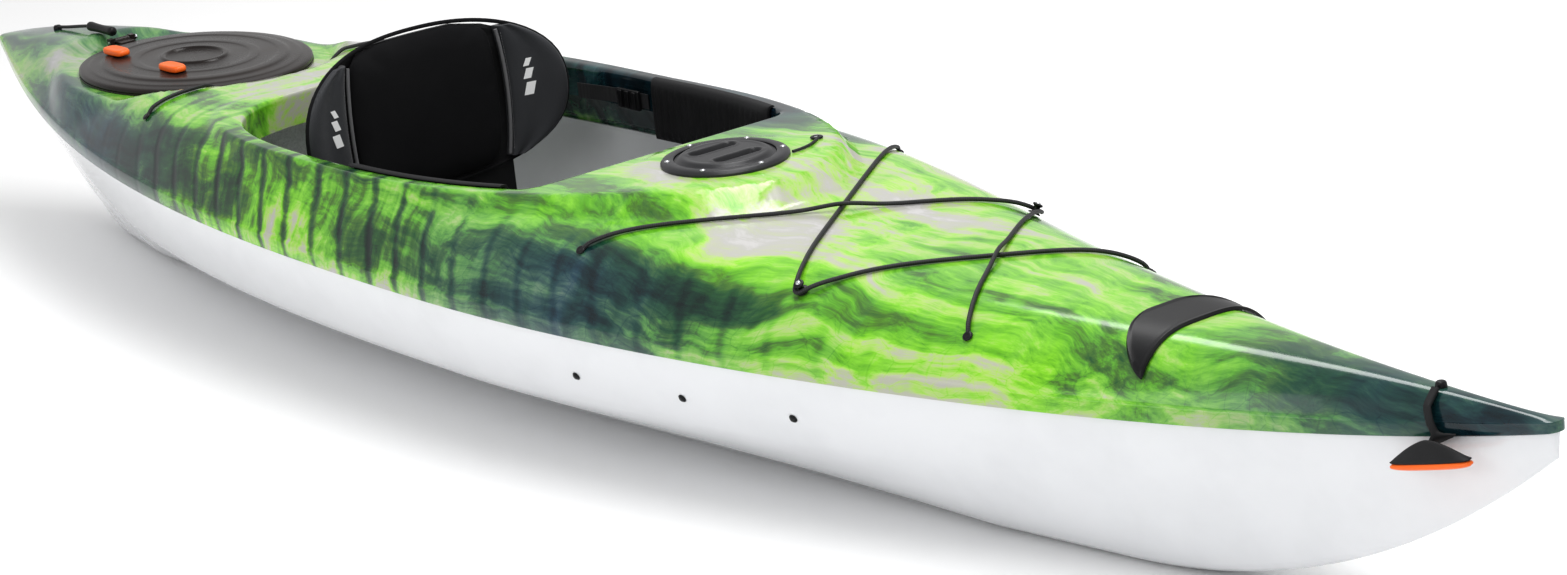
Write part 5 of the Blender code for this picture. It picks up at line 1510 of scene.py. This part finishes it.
stern_low, stern_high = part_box("stern_handle_anchor")
toggle_low, toggle_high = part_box("stern_handle_toggle")
stern_x = (stern_low[0] + stern_high[0]) / 2
fitted(upright("stern_saddle", SADDLE, stern_x, 0.0, 0.0003, black_moulded), "stern_handle_anchor")
toggle_z = (toggle_low[2] + toggle_high[2]) / 2
toggle_r = (toggle_high[2] - toggle_low[2]) / 2
rings = []
for share in np.linspace(-1, 1, 41):
    x = (toggle_low[0] + toggle_high[0]) / 2 + share * (toggle_high[0] - toggle_low[0]) / 2
    waist = toggle_r * (0.80 + 0.20 * share**2) * (1 - abs(share) ** 16) ** 0.5
    turns = np.linspace(0, 2 * pi, 36, endpoint=False)
    rings.append([(x, waist * cos(a), toggle_z + waist * sin(a)) for a in turns])
fitted(skin("stern_toggle_grip", rings, black_moulded, 50), "stern_handle_toggle",
       "stern_handle")
cord_route = []
for share in np.linspace(0, 1, 12):
    x = stern_x + 0.0115 + (toggle_low[0] + 0.002 - stern_x - 0.0115) * share
    base = float(deck_z(x, 0.0)) + 0.0042
    cord_route.append((x, 0.0, base + (toggle_z - base) * share**2))
fitted(sweep("stern_handle_line", smooth_path(cord_route, 2), disc_section(0.0028), cord_black),
       "stern_handle_cord", "stern_handle")

# ---- Badge plate -------------------------------------------------------------------------
# A half-oval plate of black plastic with a raised edge lies across the foredeck. It is left
# plain.
badge_low, badge_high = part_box("bow_badge_plate")
badge_long = badge_high[0] - badge_low[0] - 0.001
badge_half = (badge_high[1] - badge_low[1]) / 2 - 0.002
rings = []
for share in np.concatenate([np.linspace(0, 0.86, 30), [0.90, 0.94, 0.97, 0.99, 1.0]]):
    x = badge_high[0] - badge_long * share
    reach = max(badge_half * (1 - share**2) ** 0.5, 0.001)
    over, under = [], []
    for part in np.linspace(-1, 1, 61):
        y = reach * part
        edge = min((1 - abs(part)) * reach, badge_high[0] - x, (1 - share) * badge_long)
        raised = 0.0034 + 0.0012 * (1 - float(smooth(abs(edge - 0.004), 0.0015, 0.003)))
        raised -= 0.0020 * (1 - float(smooth(edge, 0.0, 0.0015)))
        over.append(over_deck(x, y, raised))
        under.append(over_deck(x, y, 0.0006))
    rings.append(over + under[::-1])
fitted(skin("badge_plate", rings, black_moulded, 50), "bow_badge_plate")

# ---- Foot braces, bulkhead and drain -----------------------------------------------------
# Black rails screwed through the hull's sides carry sliding pedals. A foam bulkhead closes
# the stern compartment and a foam block stiffens the bow. A plug drains the stern.
foam, foam_tree, foam_shader = finish_named("flotation_foam", 0.9)
cells = node(foam_tree, "ShaderNodeTexVoronoi", {"Scale": 260.0})
foam_tree.links.new(node(foam_tree, "ShaderNodeTexCoord").outputs["Object"], cells.inputs["Vector"])
foam_tone = ramp(foam_tree, cells.outputs["Distance"],
                 [(0.0, (0.60, 0.61, 0.60)), (1.0, (0.78, 0.79, 0.78))])
foam_tree.links.new(foam_tone, foam_shader.inputs["Base Color"])
foam_bump = node(foam_tree, "ShaderNodeBump", {"Height": cells.outputs["Distance"], "Distance": 0.0008})
foam_tree.links.new(foam_bump.outputs["Normal"], foam_shader.inputs["Normal"])
for name in ("stern_bulkhead", "bow_flotation_block"):
    wear(name, foam)
for side in ("port", "starboard"):
    wear("foot_rail_" + side, black_moulded)
    wear("foot_pedal_" + side, black_moulded)
    for number in (1, 2, 3):
        wear("foot_rail_screw_%s_%d" % (side, number), black_moulded)
wear("drain_plug", black_moulded)
